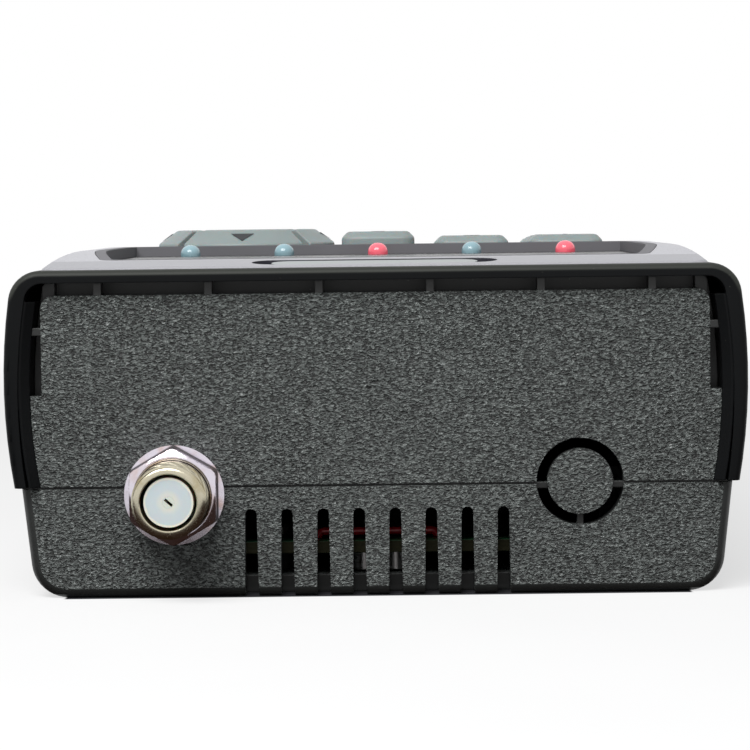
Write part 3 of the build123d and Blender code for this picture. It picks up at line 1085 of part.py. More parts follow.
with BuildPart() as socket_insulator:
    with BuildSketch(socket_plane):
        Polygon(
            (at(socket_tip + INSULATOR_SINK), CONTACT_HOLE_RADIUS),
            (at(socket_tip + INSULATOR_SINK), INSULATOR_RADIUS),
            (at(WALL_RECESS), INSULATOR_RADIUS),
            (at(WALL_RECESS), bore_radius),
            (at(TUNER_START + TUNER_SHEET), bore_radius),
            (at(TUNER_START + TUNER_SHEET), CONTACT_HOLE_RADIUS),
            align=None,
        )
    revolve(axis=socket_axis)
finish(socket_insulator.part, "socket_insulator")

with BuildPart() as socket_contact:
    contact_length = TUNER_START + TUNER_SHEET + CONTACT_TAIL - (socket_tip + CONTACT_SINK)
    with BuildSketch(end_plane(socket_tip + CONTACT_SINK)):
        with Locations((SOCKET_X, SOCKET_Z)):
            Circle(CONTACT_HOLE_RADIUS - SEAT_GAP / 2)
            Rectangle(CONTACT_SLIT, 2 * CONTACT_HOLE_RADIUS, rotation=CONTACT_TURN, mode=Mode.SUBTRACT)
    extrude(amount=-CONTACT_SLIT_LENGTH)
    with BuildSketch(end_plane(socket_tip + CONTACT_SINK + CONTACT_SLIT_LENGTH)):
        with Locations((SOCKET_X, SOCKET_Z)):
            Circle(CONTACT_HOLE_RADIUS - SEAT_GAP / 2)
    extrude(amount=-(contact_length - CONTACT_SLIT_LENGTH))
finish(socket_contact.part, "socket_contact")

with BuildPart() as socket_washer:
    with BuildSketch(end_plane(WALL_RECESS)):
        with Locations((SOCKET_X, SOCKET_Z)):
            Circle(WASHER_DIAMETER / 2)
            Circle(thread_radius + SEAT_GAP, mode=Mode.SUBTRACT)
    extrude(amount=WASHER_THICKNESS)
finish(socket_washer.part, "socket_washer")

nut_corner = NUT_ACROSS_FLATS / 2 / cos(radians(30))
with BuildPart() as socket_nut:
    with BuildSketch(end_plane(nut_back)):
        with Locations((SOCKET_X, SOCKET_Z)):
            RegularPolygon(NUT_ACROSS_FLATS / 2, 6, major_radius=False, rotation=NUT_TURN)
            Circle(shank_radius + SEAT_GAP, mode=Mode.SUBTRACT)
    extrude(amount=NUT_THICKNESS)
    with BuildSketch(socket_plane):
        Polygon(
            (at(nut_back), 0),
            (at(nut_back), nut_corner),
            (at(nut_back - NUT_THICKNESS + NUT_BEVEL / 2), nut_corner),
            (at(nut_back - NUT_THICKNESS), nut_corner - NUT_BEVEL),
            (at(nut_back - NUT_THICKNESS), 0),
            align=None,
        )
    revolve(axis=socket_axis, mode=Mode.INTERSECT)
finish(socket_nut.part, "socket_nut")

# Small pieces on the main board
with BuildPart() as sounder:
    with BuildSketch(Plane.XY.offset(MAIN_BOARD_TOP_Z)):
        with Locations((SOUNDER_X, at(SOUNDER_DEPTH))):
            Circle(SOUNDER_RADIUS)
    extrude(amount=SOUNDER_HEIGHT)
    with BuildSketch(Plane.XY.offset(MAIN_BOARD_TOP_Z + SOUNDER_HEIGHT)):
        with Locations((SOUNDER_X, at(SOUNDER_DEPTH))):
            Circle(SOUNDER_HOLE_RADIUS)
    extrude(amount=-SOUNDER_HOLE, mode=Mode.SUBTRACT)
finish(sounder.part, "sounder")

with BuildPart() as board_capacitors:
    with BuildSketch(Plane.XY.offset(MAIN_BOARD_BASE_Z)):
        with Locations(*[(x, at(depth)) for x, depth in CAPACITOR_PLACES]):
            Circle(CAPACITOR_RADIUS)
    extrude(amount=-CAPACITOR_HEIGHT)
finish(board_capacitors.part, "board_capacitors")

link_z = MAIN_BOARD_TOP_Z + LINK_HEIGHT + LINK_RADIUS
with BuildPart() as supply_link:
    with BuildLine() as link_path:
        FilletPolyline(
            (-LINK_HALF_SPAN, at(LINK_DEPTH), MAIN_BOARD_TOP_Z),
            (-LINK_HALF_SPAN, at(LINK_DEPTH), link_z),
            (LINK_HALF_SPAN, at(LINK_DEPTH), link_z),
            (LINK_HALF_SPAN, at(LINK_DEPTH), MAIN_BOARD_TOP_Z),
            radius=LINK_BEND_RADIUS,
        )
    with BuildSketch(Plane.XY.offset(MAIN_BOARD_TOP_Z)):
        with Locations((-LINK_HALF_SPAN, at(LINK_DEPTH))):
            Circle(LINK_RADIUS)
    sweep(path=link_path.wire())
finish(supply_link.part, "supply_link")

# Ribbon between the boards and its two headers
ribbon_place = (RIBBON_X, at(RIBBON_DEPTH))
ribbon_low_z = MAIN_BOARD_TOP_Z + RIBBON_HEADER_HEIGHT
ribbon_high_z = UPPER_BOARD_BASE_Z - RIBBON_HEADER_HEIGHT
with BuildPart() as ribbon_headers:
    for base_z in (MAIN_BOARD_TOP_Z, ribbon_high_z):
        with BuildSketch(Plane.XY.offset(base_z)):
            with Locations(ribbon_place):
                Rectangle(RIBBON_WIDTH + 2 * RIBBON_HEADER_MARGIN, RIBBON_HEADER_WIDTH)
        extrude(amount=RIBBON_HEADER_HEIGHT)
finish(ribbon_headers.part, "ribbon_headers")

with BuildPart() as ribbon_cable:
    with BuildSketch(Plane.XY.offset(ribbon_low_z)):
        with Locations(ribbon_place):
            Rectangle(RIBBON_WIDTH, RIBBON_THICKNESS)
    extrude(amount=ribbon_high_z - ribbon_low_z)
finish(ribbon_cable.part, "ribbon_cable")

# Battery pack of two cells, its plug and its leads
cell_start = BAY_START + 2 * BAY_END_WALL
with BuildPart() as battery_pack:
    with BuildSketch(end_plane(cell_start)):
        with Locations((0, CELL_REST_Z + CELL_DIAMETER / 2)):
            SlotCenterToCenter(CELL_DIAMETER, CELL_DIAMETER)
    extrude(amount=-CELL_LENGTH)
finish(battery_pack.part, "battery_pack")

plug_top_z = MAIN_BOARD_TOP_Z + PLUG_HEIGHT
with BuildPart() as battery_plug:
    with BuildSketch(Plane.XY.offset(MAIN_BOARD_TOP_Z)):
        with Locations((PLUG_X, at(PLUG_DEPTH))):
            Rectangle(PLUG_LENGTH, PLUG_WIDTH)
    extrude(amount=PLUG_HEIGHT)
finish(battery_plug.part, "battery_plug")

with BuildPart() as battery_leads:
    for x in (PLUG_X - LEAD_PITCH / 2, PLUG_X + LEAD_PITCH / 2):
        with BuildLine() as lead_path:
            FilletPolyline(
                (x, at(PLUG_DEPTH), plug_top_z),
                (x, at(PLUG_DEPTH), LEAD_Z),
                (x, at(cell_start), LEAD_Z),
                radius=LEAD_BEND_RADIUS,
            )
        with BuildSketch(Plane.XY.offset(plug_top_z)):
            with Locations((x, at(PLUG_DEPTH))):
                Circle(LEAD_RADIUS)
        sweep(path=lead_path.wire())
finish(battery_leads.part, "battery_leads")

# Battery door: a plate with side tongues that slides out of the far end
with BuildPart() as battery_door:
    with BuildSketch(end_plane(DOOR_START)):
        Rectangle(2 * DOOR_HALF, DOOR_THICKNESS, align=(Align.CENTER, Align.MIN))
        with Locations((0, DOOR_TONGUE_Z)):
            Rectangle(
                2 * (DOOR_HALF + DOOR_TONGUE),
                DOOR_THICKNESS - DOOR_TONGUE_Z,
                align=(Align.CENTER, Align.MIN),
            )
    extrude(amount=-(FAR_DEPTH - DOOR_START))
    low_far = battery_door.edges().filter_by(Axis.X).group_by(Axis.Y)[-1].sort_by(Axis.Z)[0]
    fillet(low_far, radius=DOOR_END_RADIUS)
    with BuildSketch(Plane.XY):
        with Locations((0, at(DOOR_GRIP_DEPTH))):
            with GridLocations(DOOR_GRIP_PITCH, DOOR_GRIP_PITCH, 1, DOOR_GRIP_COUNT):
                SlotOverall(DOOR_GRIP_LENGTH, DOOR_GRIP_WIDTH)
    extrude(amount=DOOR_GRIP_SINK, mode=Mode.SUBTRACT)
finish(battery_door.part, "battery_door")

# Sockets on the right edge of the main board
with BuildPart() as supply_jack:
    with BuildSketch(Plane.YZ.offset(JACK_FRONT_X)):
        with Locations((at(SUPPLY_JACK_DEPTH), MAIN_BOARD_TOP_Z)):
            Rectangle(SUPPLY_JACK_WIDTH, SUPPLY_JACK_HEIGHT, align=(Align.CENTER, Align.MIN))
    extrude(amount=-SUPPLY_JACK_LENGTH)
    with BuildSketch(Plane.YZ.offset(JACK_FRONT_X)):
        with Locations((at(SUPPLY_JACK_DEPTH), SUPPLY_JACK_Z)):
            Circle(SUPPLY_JACK_BORE_RADIUS)
            Circle(SUPPLY_JACK_PIN_RADIUS, mode=Mode.SUBTRACT)
    extrude(amount=-SUPPLY_JACK_BORE, mode=Mode.SUBTRACT)
finish(supply_jack.part, "supply_jack")

with BuildPart() as sound_jack:
    with BuildSketch(Plane.YZ.offset(JACK_FRONT_X)):
        with Locations((at(SOUND_JACK_DEPTH), MAIN_BOARD_TOP_Z)):
            Rectangle(SOUND_JACK_WIDTH, SOUND_JACK_HEIGHT, align=(Align.CENTER, Align.MIN))
    extrude(amount=-SOUND_JACK_LENGTH)
    with BuildSketch(Plane.YZ.offset(JACK_FRONT_X)):
        with Locations((at(SOUND_JACK_DEPTH), SOUND_JACK_Z)):
            Circle(SOUND_JACK_BORE_RADIUS)
    extrude(amount=-SOUND_JACK_BORE, mode=Mode.SUBTRACT)
finish(sound_jack.part, "sound_jack")

with BuildPart() as data_socket:
    with BuildSketch(Plane.YZ.offset(JACK_FRONT_X)):
        with Locations((at(DATA_SOCKET_DEPTH), MAIN_BOARD_TOP_Z)):
            Rectangle(DATA_SOCKET_WIDTH, DATA_SOCKET_HEIGHT, align=(Align.CENTER, Align.MIN))
    extrude(amount=-DATA_SOCKET_LENGTH)
    with BuildSketch(Plane.YZ.offset(JACK_FRONT_X)):
        with Locations((at(DATA_SOCKET_DEPTH), MAIN_BOARD_TOP_Z + DATA_SOCKET_HEIGHT / 2)):
            Rectangle(DATA_SOCKET_WIDTH - 2 * DATA_SOCKET_SHEET, DATA_SOCKET_HEIGHT - 2 * DATA_SOCKET_SHEET)
            Rectangle(DATA_TONGUE_WIDTH, DATA_TONGUE, mode=Mode.SUBTRACT)
    extrude(amount=-(DATA_SOCKET_LENGTH - DATA_SOCKET_SHEET), mode=Mode.SUBTRACT)
finish(data_socket.part, "data_socket")

# Slide switch on the left edge: its body and the knob that runs in its pocket
with BuildPart() as switch_body:
    with BuildSketch(Plane.YZ.offset(-SWITCH_FACE_X)):
        with Locations((at(SWITCH_DEPTH), MAIN_BOARD_TOP_Z)):
            Rectangle(SWITCH_BODY_LENGTH, SWITCH_BODY_HEIGHT, align=(Align.CENTER, Align.MIN))
    extrude(amount=SWITCH_BODY_WIDTH)
    with BuildSketch(Plane.YZ.offset(-SWITCH_FACE_X)):
        with Locations((at(SWITCH_DEPTH), SWITCH_Z)):
            Rectangle(
                SWITCH_KNOB_LENGTH + SWITCH_TRAVEL + 2 * SLIP_GAP,
                SWITCH_KNOB_HEIGHT + 2 * SLIP_GAP,
            )
    extrude(amount=SWITCH_POCKET, mode=Mode.SUBTRACT)
finish(switch_body.part, "switch_body")

knob_outer_x = -(REAR_HALF_BASE + REAR_LEAN * SWITCH_Z + SWITCH_KNOB_PROUD)
knob_inner_x = -(SWITCH_FACE_X - SWITCH_POCKET + SLIP_GAP)
with BuildPart() as switch_knob:
    with BuildSketch(Plane.YZ.offset(knob_inner_x)):
        with Locations((at(SWITCH_DEPTH - SWITCH_TRAVEL / 2), SWITCH_Z)):
            Rectangle(SWITCH_KNOB_LENGTH, SWITCH_KNOB_HEIGHT)
    extrude(amount=knob_outer_x - knob_inner_x)
    fillet(switch_knob.faces().sort_by(Axis.X)[0].edges(), radius=SWITCH_KNOB_RADIUS)
finish(switch_knob.part, "switch_knob")

# Case screws, sunk in the bosses of the rear shell
with BuildPart() as case_screws:
    with BuildSketch(Plane.XY.offset(SCREW_SINK)):
        with Locations(*boss_places):
            Circle(SCREW_HEAD_RADIUS)
    extrude(amount=SCREW_HEAD)
    with BuildSketch(Plane.XY.offset(SCREW_SINK)):
        with Locations(*boss_places):
            Rectangle(2 * SCREW_CROSS, SCREW_SLOT)
            Rectangle(SCREW_SLOT, 2 * SCREW_CROSS)
    extrude(amount=SCREW_HEAD / 2, mode=Mode.SUBTRACT)
    with BuildSketch(Plane.XY.offset(SCREW_SINK + SCREW_HEAD)):
        with Locations(*boss_places):
            Circle(SCREW_RADIUS)
    extrude(amount=SCREW_TIP_Z - SCREW_SINK - SCREW_HEAD)
finish(case_screws.part, "case_screws")
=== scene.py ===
"""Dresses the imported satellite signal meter: its finishes, printed marks, socket thread and stage."""

import json
from math import cos, pi, radians, sin, tan, tau

import bmesh
import bpy
import numpy as np
from bpy.props import FloatProperty, FloatVectorProperty, PointerProperty
from mathutils import Matrix, Vector

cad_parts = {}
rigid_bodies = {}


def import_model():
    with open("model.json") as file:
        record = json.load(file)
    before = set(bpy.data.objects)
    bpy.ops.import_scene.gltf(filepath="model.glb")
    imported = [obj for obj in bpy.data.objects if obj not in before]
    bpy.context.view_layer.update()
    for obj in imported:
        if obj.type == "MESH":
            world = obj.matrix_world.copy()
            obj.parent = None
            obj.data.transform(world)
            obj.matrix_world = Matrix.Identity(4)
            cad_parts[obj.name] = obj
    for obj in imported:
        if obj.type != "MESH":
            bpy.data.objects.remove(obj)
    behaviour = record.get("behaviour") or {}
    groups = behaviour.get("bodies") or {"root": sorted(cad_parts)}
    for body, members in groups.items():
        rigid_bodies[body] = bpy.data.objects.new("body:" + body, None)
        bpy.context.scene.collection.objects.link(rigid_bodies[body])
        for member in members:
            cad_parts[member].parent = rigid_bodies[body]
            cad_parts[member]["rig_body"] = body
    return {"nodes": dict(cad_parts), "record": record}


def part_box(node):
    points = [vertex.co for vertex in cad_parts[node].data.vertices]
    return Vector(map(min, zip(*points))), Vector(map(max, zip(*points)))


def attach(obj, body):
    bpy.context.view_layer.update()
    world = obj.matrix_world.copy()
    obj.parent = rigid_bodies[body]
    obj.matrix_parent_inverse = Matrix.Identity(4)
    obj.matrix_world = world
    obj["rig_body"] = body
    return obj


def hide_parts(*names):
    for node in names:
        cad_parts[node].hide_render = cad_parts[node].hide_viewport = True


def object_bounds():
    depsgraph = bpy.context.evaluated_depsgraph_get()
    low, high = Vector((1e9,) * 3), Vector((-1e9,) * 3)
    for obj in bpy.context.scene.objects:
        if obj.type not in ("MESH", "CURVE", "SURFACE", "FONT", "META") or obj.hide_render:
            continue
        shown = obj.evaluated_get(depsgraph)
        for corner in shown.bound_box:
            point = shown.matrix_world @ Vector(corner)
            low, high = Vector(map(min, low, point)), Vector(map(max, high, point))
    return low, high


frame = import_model()
CAD_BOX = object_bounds()

bl_info = {
    "name": "Satellite Signal Meter",
    "version": (1, 0, 0),
    "blender": (4, 5, 0),
    "location": "View3D > Sidebar > Meter",
    "description": "Finishes, marks, socket thread and stage of a satellite signal meter",
    "category": "Object",
}

MM = 0.001

# Places on the case, which also bound the painted shade of the shells and the face
WALL_RECESS = 1.5 * MM
WALL_HALF_WIDTH = 43.2 * MM
TOP_SLIT_DROP = 3.28 * MM
SIDE_SLIT_DROP = 16.2 * MM
FACE_STRIP = 12.9 * MM
BADGE_END_MARGIN = 2.75 * MM
BADGE_SIDE_MARGIN = 0.3 * MM

# Keys, and the slit of the aerial socket
KEY_EDGE = 0.3 * MM
KEY_CREASE = 24
SLIT_DISC_RADIUS = 0.74 * MM
SLIT_LENGTH = 1.25 * MM
SLIT_WIDTH = 0.36 * MM
SLIT_TURN = radians(-41)

# Stage: the dark paint under the case, a painted shadow, the shade round it, the cloth and the lamp
UNDER_SIDE_INSET = 5.4 * MM
UNDER_NEAR_OUTSET = 0.5 * MM
UNDER_FAR_INSET = 3.0 * MM
SHADE_SHARE = 0.35
SHADE_REACH = 0.6
CLOTH_UNDER = 12 * MM
CLOTH_REACH = 80 * MM
CLOTH_LIFT = 0.5 * MM
LAMP_LEFT = 0.16
LAMP_BEFORE = 0.38
LAMP_UP = 0.53
LAMP_AIM_UP = 0.02
LAMP_SIZE = (0.50, 0.32)

# Nodes of the keys
NUMBER_KEYS = ["key_" + str(digit) for digit in range(10)]
ARROW_KEYS = ["key_up", "key_down", "key_left", "key_right"]
OTHER_KEYS = ["key_select", "key_back", "key_enter", "key_menu", "key_power"]
ALL_KEYS = NUMBER_KEYS + ARROW_KEYS + OTHER_KEYS


def body_of(node):
    """The body that carries a node of the frame."""
    return frame["nodes"][node]["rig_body"]


def slot_of(node):
    """The record's material slot of a node of the frame."""
    for subpart in frame["record"]["subparts"]:
        if subpart["node"] == node:
            return subpart["material_slot"]
    raise RuntimeError("the record has no subpart " + node)


def middle_of(node):
    """The middle of a node's box."""
    low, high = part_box(node)
    return (low + high) / 2


def top_of(node):
    """The middle of the top of a node's box."""
    low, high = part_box(node)
    return Vector(((low.x + high.x) / 2, (low.y + high.y) / 2, high.z))


def scaled(colour, factor, lift=0.0):
    """A colour times a factor and then lifted, with no channel over 1."""
    return [min(channel * factor + lift, 1.0) for channel in colour]


class MeterSizes(bpy.types.PropertyGroup):
    """Sizes of the surface detail"""

    edge_round: FloatProperty(
        name="Edge rounding",
        description="Width of the narrow rounding along moulded edges",
        default=0.14 * MM,
        unit="LENGTH",
    )
    wrinkle_length: FloatProperty(
        name="Wrinkle length",
        description="Length of one wrinkle of the shells across the case",
        default=0.56 * MM,
        unit="LENGTH",
    )
    wrinkle_height: FloatProperty(
        name="Wrinkle height",
        description="Height of one wrinkle on an upright wall",
        default=0.31 * MM,
        unit="LENGTH",
    )
    wrinkle_depth: FloatProperty(
        name="Wrinkle depth",
        description="Depth of the creases between the wrinkles",
        default=0.85 * MM,
        unit="LENGTH",
    )
    silver_grain: FloatProperty(
        name="Silver grain",
        description="Size of one flake of the silver paint",
        default=0.16 * MM,
        unit="LENGTH",
    )
    thread_pitch: FloatProperty(
        name="Thread pitch",
        description="Pitch of the aerial socket's thread, 32 turns to the inch",
        default=25.4 / 32 * MM,
        unit="LENGTH",
    )
    thread_depth: FloatProperty(
        name="Thread depth",
        description="Depth of the thread from crest to root",
        default=0.4 * MM,
        unit="LENGTH",
    )
    mark_height: FloatProperty(
        name="Mark height",
        description="Height of a digit printed on a key",
        default=4.6 * MM,
        unit="LENGTH",
    )
    mark_thickness: FloatProperty(
        name="Mark thickness",
        description="Thickness of the ink on a key",
        default=0.03 * MM,
        unit="LENGTH",
    )


class MeterColours(bpy.types.PropertyGroup):
    """Colours of the meter's finishes"""

    shell: FloatVectorProperty(
        name="Shell",
        description="Black plastic of the textured shells",
        default=(0.066, 0.073, 0.070),
        subtype="COLOR",
    )
    hood: FloatVectorProperty(
        name="Hood",
        description="Satin black plastic of the hood",
        default=(0.004, 0.0045, 0.005),
        subtype="COLOR",
    )
    silver: FloatVectorProperty(
        name="Silver",
        description="Satin paint of the face",
        default=(0.55, 0.55, 0.585),
        subtype="COLOR",
    )
    silicone: FloatVectorProperty(
        name="Silicone",
        description="Pale translucent rubber of the keys",
        default=(0.30, 0.355, 0.35),
        subtype="COLOR",
    )
    red_lamp: FloatVectorProperty(
        name="Red lamp",
        description="Dyed resin of the red lamps",
        default=(0.85, 0.07, 0.12),
        subtype="COLOR",
    )
    blue_lamp: FloatVectorProperty(
        name="Blue lamp",
        description="Dyed resin of the pale blue lamps",
        default=(0.24, 0.42, 0.48),
        subtype="COLOR",
    )
    nickel: FloatVectorProperty(
        name="Nickel",
        description="Plating of the aerial socket",
        default=(0.70, 0.655, 0.73),
        subtype="COLOR",
    )
    worn_nickel: FloatVectorProperty(
        name="Worn nickel",
        description="Thinner plating of the barrel, through which its brass shows",
        default=(0.56, 0.52, 0.40),
        subtype="COLOR",
    )
    ink: FloatVectorProperty(
        name="Ink",
        description="Print on the keys",
        default=(0.015, 0.016, 0.018),
        subtype="COLOR",
    )


class MeterStage(bpy.types.PropertyGroup):
    """Camera, floor, cloth and lamp of the stage"""

    eye_distance: FloatProperty(
        name="Eye distance",
        description="From the near rim of the case to the camera",
        default=340 * MM,
        unit="LENGTH",
    )
    eye_height: FloatProperty(
        name="Eye height",
        description="Height of the camera above the floor",
        default=49.2 * MM,
        unit="LENGTH",
    )
    eye_right: FloatProperty(
        name="Eye offset",
        description="Camera to the right of the middle of the case",
        default=2.5 * MM,
        unit="LENGTH",
    )
    lens: FloatProperty(
        name="Lens",
        description="Focal length in millimetres on a 36 mm sensor",
        default=127.3,
    )
    pitch: FloatProperty(
        name="Pitch",
        description="How far the camera looks down",
        default=radians(3.45),
        unit="ROTATION",
    )
    yaw: FloatProperty(
        name="Yaw",
        description="How far the camera turns to the left",
        default=radians(0.43),
        unit="ROTATION",
    )
    roll: FloatProperty(
        name="Roll",
        description="How far the camera leans clockwise",
        default=radians(0.72),
        unit="ROTATION",
    )
    lamp_power: FloatProperty(
        name="Lamp power",
        description="Power of the soft lamp in watts",
        default=4.6,
        unit="POWER",
    )
    fill_level: FloatProperty(
        name="Fill level",
        description="Brightness of the plain world that fills the shadows",
        default=0.2,
    )
    cloth_half: FloatProperty(
        name="Cloth half width",
        description="How far the dark cloth reaches to either side",
        default=300 * MM,
        unit="LENGTH",
    )
    floor_size: FloatProperty(
        name="Floor size",
        description="Side of the square floor",
        default=8.0,
        unit="LENGTH",
    )


class Wire:
    """A shader socket with arithmetic: each operator adds the Math node that it stands for."""

    def __init__(self, finish, socket):
        self.finish = finish
        self.socket = socket

    def math(self, operation, *values):
        """A Math node on this socket and the other values."""
        inputs = dict(enumerate((self, *values)))
        return self.finish.node("ShaderNodeMath", {"operation": operation}, inputs)

    def __add__(self, other):
        return self.math("ADD", other)

    def __radd__(self, other):
        return self.math("ADD", other)

    def __sub__(self, other):
        return self.math("SUBTRACT", other)

    def __rsub__(self, other):
        return self.finish.node("ShaderNodeMath", {"operation": "SUBTRACT"}, {0: other, 1: self})

    def __mul__(self, other):
        return self.math("MULTIPLY", other)

    def __truediv__(self, other):
        return self.math("DIVIDE", other)

    def __pow__(self, other):
        return self.math("POWER", other)

    def __gt__(self, other):
        return self.math("GREATER_THAN", other)

    def __lt__(self, other):
        return self.math("LESS_THAN", other)

    def __abs__(self):
        return self.math("ABSOLUTE")


class Finish:
    """A node material or world: its shader's sockets and the one method that adds any other node."""

    def __init__(self, name, world=False):
        self.material = (bpy.data.worlds if world else bpy.data.materials).new(name)
        self.material.use_nodes = True
        self.tree = self.material.node_tree
        self.tree.nodes.clear()
        self.shader = self.tree.nodes.new("ShaderNodeBackground" if world else "ShaderNodeBsdfPrincipled")
        self.output = self.tree.nodes.new("ShaderNodeOutputWorld" if world else "ShaderNodeOutputMaterial")
        self.feed(self.output.inputs["Surface"], Wire(self, self.shader.outputs[0]))

    def node(self, kind, settings=None, values=None, output=0):
        """Adds a node: first its settings or its ramp's stops, then its sockets' values or links."""
        made = self.tree.nodes.new(kind)
        for name, setting in (settings or {}).items():
            if name == "stops":
                elements = made.color_ramp.elements
                while len(elements) < len(setting):
                    elements.new(1.0)
                for element, (position, colour) in zip(elements, setting):
                    element.position = position
                    element.color = (*colour, 1.0)
            else:
                setattr(made, name, setting)
        for key, value in (values or {}).items():
            self.feed(made.inputs[key], value)
        return Wire(self, made.outputs[output])

    def feed(self, socket, value):
        """Links a wire to a socket, or sets the socket's own value."""
        if isinstance(value, Wire):
            self.tree.links.new(value.socket, socket)
        elif socket.type == "RGBA" and len(value) == 3:
            socket.default_value = (*value, 1.0)
        else:
            socket.default_value = value

    def shade(self, **values):
        """Feeds the shader's sockets, named in lower case with underscores."""
        for name, value in values.items():
            wanted = name.replace("_", " ").lower()
            socket = next(one for one in self.shader.inputs if one.name.lower() == wanted)
            self.feed(socket, value)
        return self.material

    def place(self):
        """The point of the surface in the frame, in metres."""
        return self.node("ShaderNodeTexCoord", output="Object")

    def parts(self, vector):
        """The three numbers of a vector."""
        split = self.node("ShaderNodeSeparateXYZ", values={0: vector})
        outputs = split.socket.node.outputs
        return [Wire(self, outputs[index]) for index in range(3)]

    def stretched(self, place, size):
        """A place measured in grains of one size, or of a size along each axis."""
        sizes = [size] * 3 if isinstance(size, float) else size
        return self.node("ShaderNodeMapping", values={"Vector": place, "Scale": [1 / one for one in sizes]})

    def noise(self, place, size, detail=2.0, rough=0.5, distort=0.0):
        """Smooth noise between 0 and 1, in grains of a size."""
        values = {"Vector": self.stretched(place, size), "Scale": 1.0}
        values |= {"Detail": detail, "Roughness": rough, "Distortion": distort}
        return self.node("ShaderNodeTexNoise", values=values)

    def cells(self, place, size, feature="F1"):
        """Distance to the nearest point, or to the nearest border between two, of a random scatter."""
        values = {"Vector": self.stretched(place, size), "Scale": 1.0}
        return self.node("ShaderNodeTexVoronoi", {"feature": feature}, values, "Distance")

    def step(self, value, low, high):
        """Rises smoothly from 0 at low to 1 at high."""
        values = {"Value": value, "From Min": low, "From Max": high}
        return self.node("ShaderNodeMapRange", {"interpolation_type": "SMOOTHSTEP"}, values)

    def outside(self, place, box, margin, blur):
        """0 over a box that is centred on x = 0 and drawn in by a margin, as seen from above, and 1 beyond
        it, with an edge that is soft over a blur to either side."""
        low, high = box
        across, along, _ = self.parts(place)
        beside = abs(across) - ((high.x - low.x) / 2 - margin)
        beyond = abs(along - (low.y + high.y) / 2) - ((high.y - low.y) / 2 - margin)
        return self.step(beside.math("MAXIMUM", beyond), -blur, blur)

    def blend(self, share, first, second):
        """A colour between two colours."""
        values = {"Factor": share, 6: first, 7: second}
        return self.node("ShaderNodeMix", {"data_type": "RGBA"}, values, output=2)

    def bump(self, height, distance, edge=0.0):
        """A normal tilted by a height that counts in steps of distance, over edges rounded by edge."""
        values = {"Height": height, "Distance": distance, "Strength": 1.0}
        if edge > 0:
            values["Normal"] = self.node("ShaderNodeBevel", {"samples": 4}, {"Radius": edge})
        return self.node("ShaderNodeBump", values=values)

    def outwards(self):
        """The three parts of the surface's normal, without their signs."""
        normal = self.node("ShaderNodeNewGeometry", output="Normal")
        return [abs(part) for part in self.parts(normal)]

    def ray(self, *kinds):
        """1 for light rays of the given kinds."""
        path = self.node("ShaderNodeLightPath").socket.node
        wires = [Wire(self, path.outputs["Is " + kind + " Ray"]) for kind in kinds]
        seen = wires[0]
        for wire in wires[1:]:
            seen = seen.math("MAXIMUM", wire)
        return seen

    def cover(self, share, first, second):
        """Puts a mix of two shaders on the surface."""
        mixed = self.node("ShaderNodeMixShader", values={0: share, 1: first, 2: second})
        self.feed(self.output.inputs["Surface"], mixed)
        return self.material


def wrinkled_plastic(colours, sizes):
    """Spark-eroded black plastic. Noise stretched across the case makes wrinkles a little wider than they
    are high, and finer noise roughens them. The creases are painted darker as shade and the tops lighter
    as painted light. Rounded edges are smooth and painted darker as shade. The ribs of the slits and all
    faces behind the end walls are smooth and painted much darker, as the shade inside the case."""
    finish = Finish("wrinkled_plastic")
    place = finish.place()
    grain = (sizes.wrinkle_length, sizes.wrinkle_length, sizes.wrinkle_height)
    fine_grain = [size * 0.45 for size in grain]
    broad_grain = 22 * MM
    coarse = finish.noise(place, grain, detail=1.2, rough=0.5, distort=0.9)
    fine = finish.noise(place, fine_grain, detail=1.0, rough=0.5)
    broad = finish.noise(place, broad_grain, detail=1.0)
    tops = finish.step(coarse, 0.40, 0.62)
    across, along, up = finish.parts(place)
    facing_x, facing_y, facing_z = finish.outwards()
    square = finish.step(facing_x.math("MAXIMUM", facing_y).math("MAXIMUM", facing_z), 0.978, 0.992)
    low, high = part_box("hood")
    middle_y = (low.y + high.y) / 2
    end_wall = (high.y - low.y) / 2 - WALL_RECESS
    behind = (facing_y > 0.9) * (abs(along - middle_y) < end_wall - 0.3 * MM)
    beside = (abs(across) > WALL_HALF_WIDTH) * (up > high.z - SIDE_SLIT_DROP)
    slit = (up > high.z - TOP_SLIT_DROP).math("MAXIMUM", beside)
    inner = behind.math("MAXIMUM", slit)
    wrinkled = square * (1 - inner)
    relief = (coarse * 0.85 + fine * 0.15) * wrinkled
    # Painted shade in the creases and painted light on the tops of the wrinkles.
    crease = scaled(colours.shell, 0.2)
    top = scaled(colours.shell, 2.6)
    # Rounded edges are smooth, and painted darker as shade where they curve away from the light.
    smooth_edge_shade = scaled(colours.shell, 0.25)
    # The ribs of the slits and all faces behind the end walls are painted much darker, as the shade inside
    # the case.
    shaded = scaled(colours.shell, 0.1)
    tint = finish.blend(wrinkled, smooth_edge_shade, finish.blend(tops * 0.85 + broad * 0.15, crease, top))
    tint = finish.blend(inner, tint, shaded)
    specks = finish.cells(place, 1.9 * MM)
    dust = finish.step(specks, 0.06, 0.02) * 0.35
    return finish.shade(
        base_color=finish.blend(dust, tint, (0.20, 0.20, 0.18)),
        roughness=0.42 - tops * wrinkled * 0.22 + fine * 0.06,
        specular_ior_level=0.5,
        normal=finish.bump(relief, sizes.wrinkle_depth, sizes.edge_round * 1.5),
    )


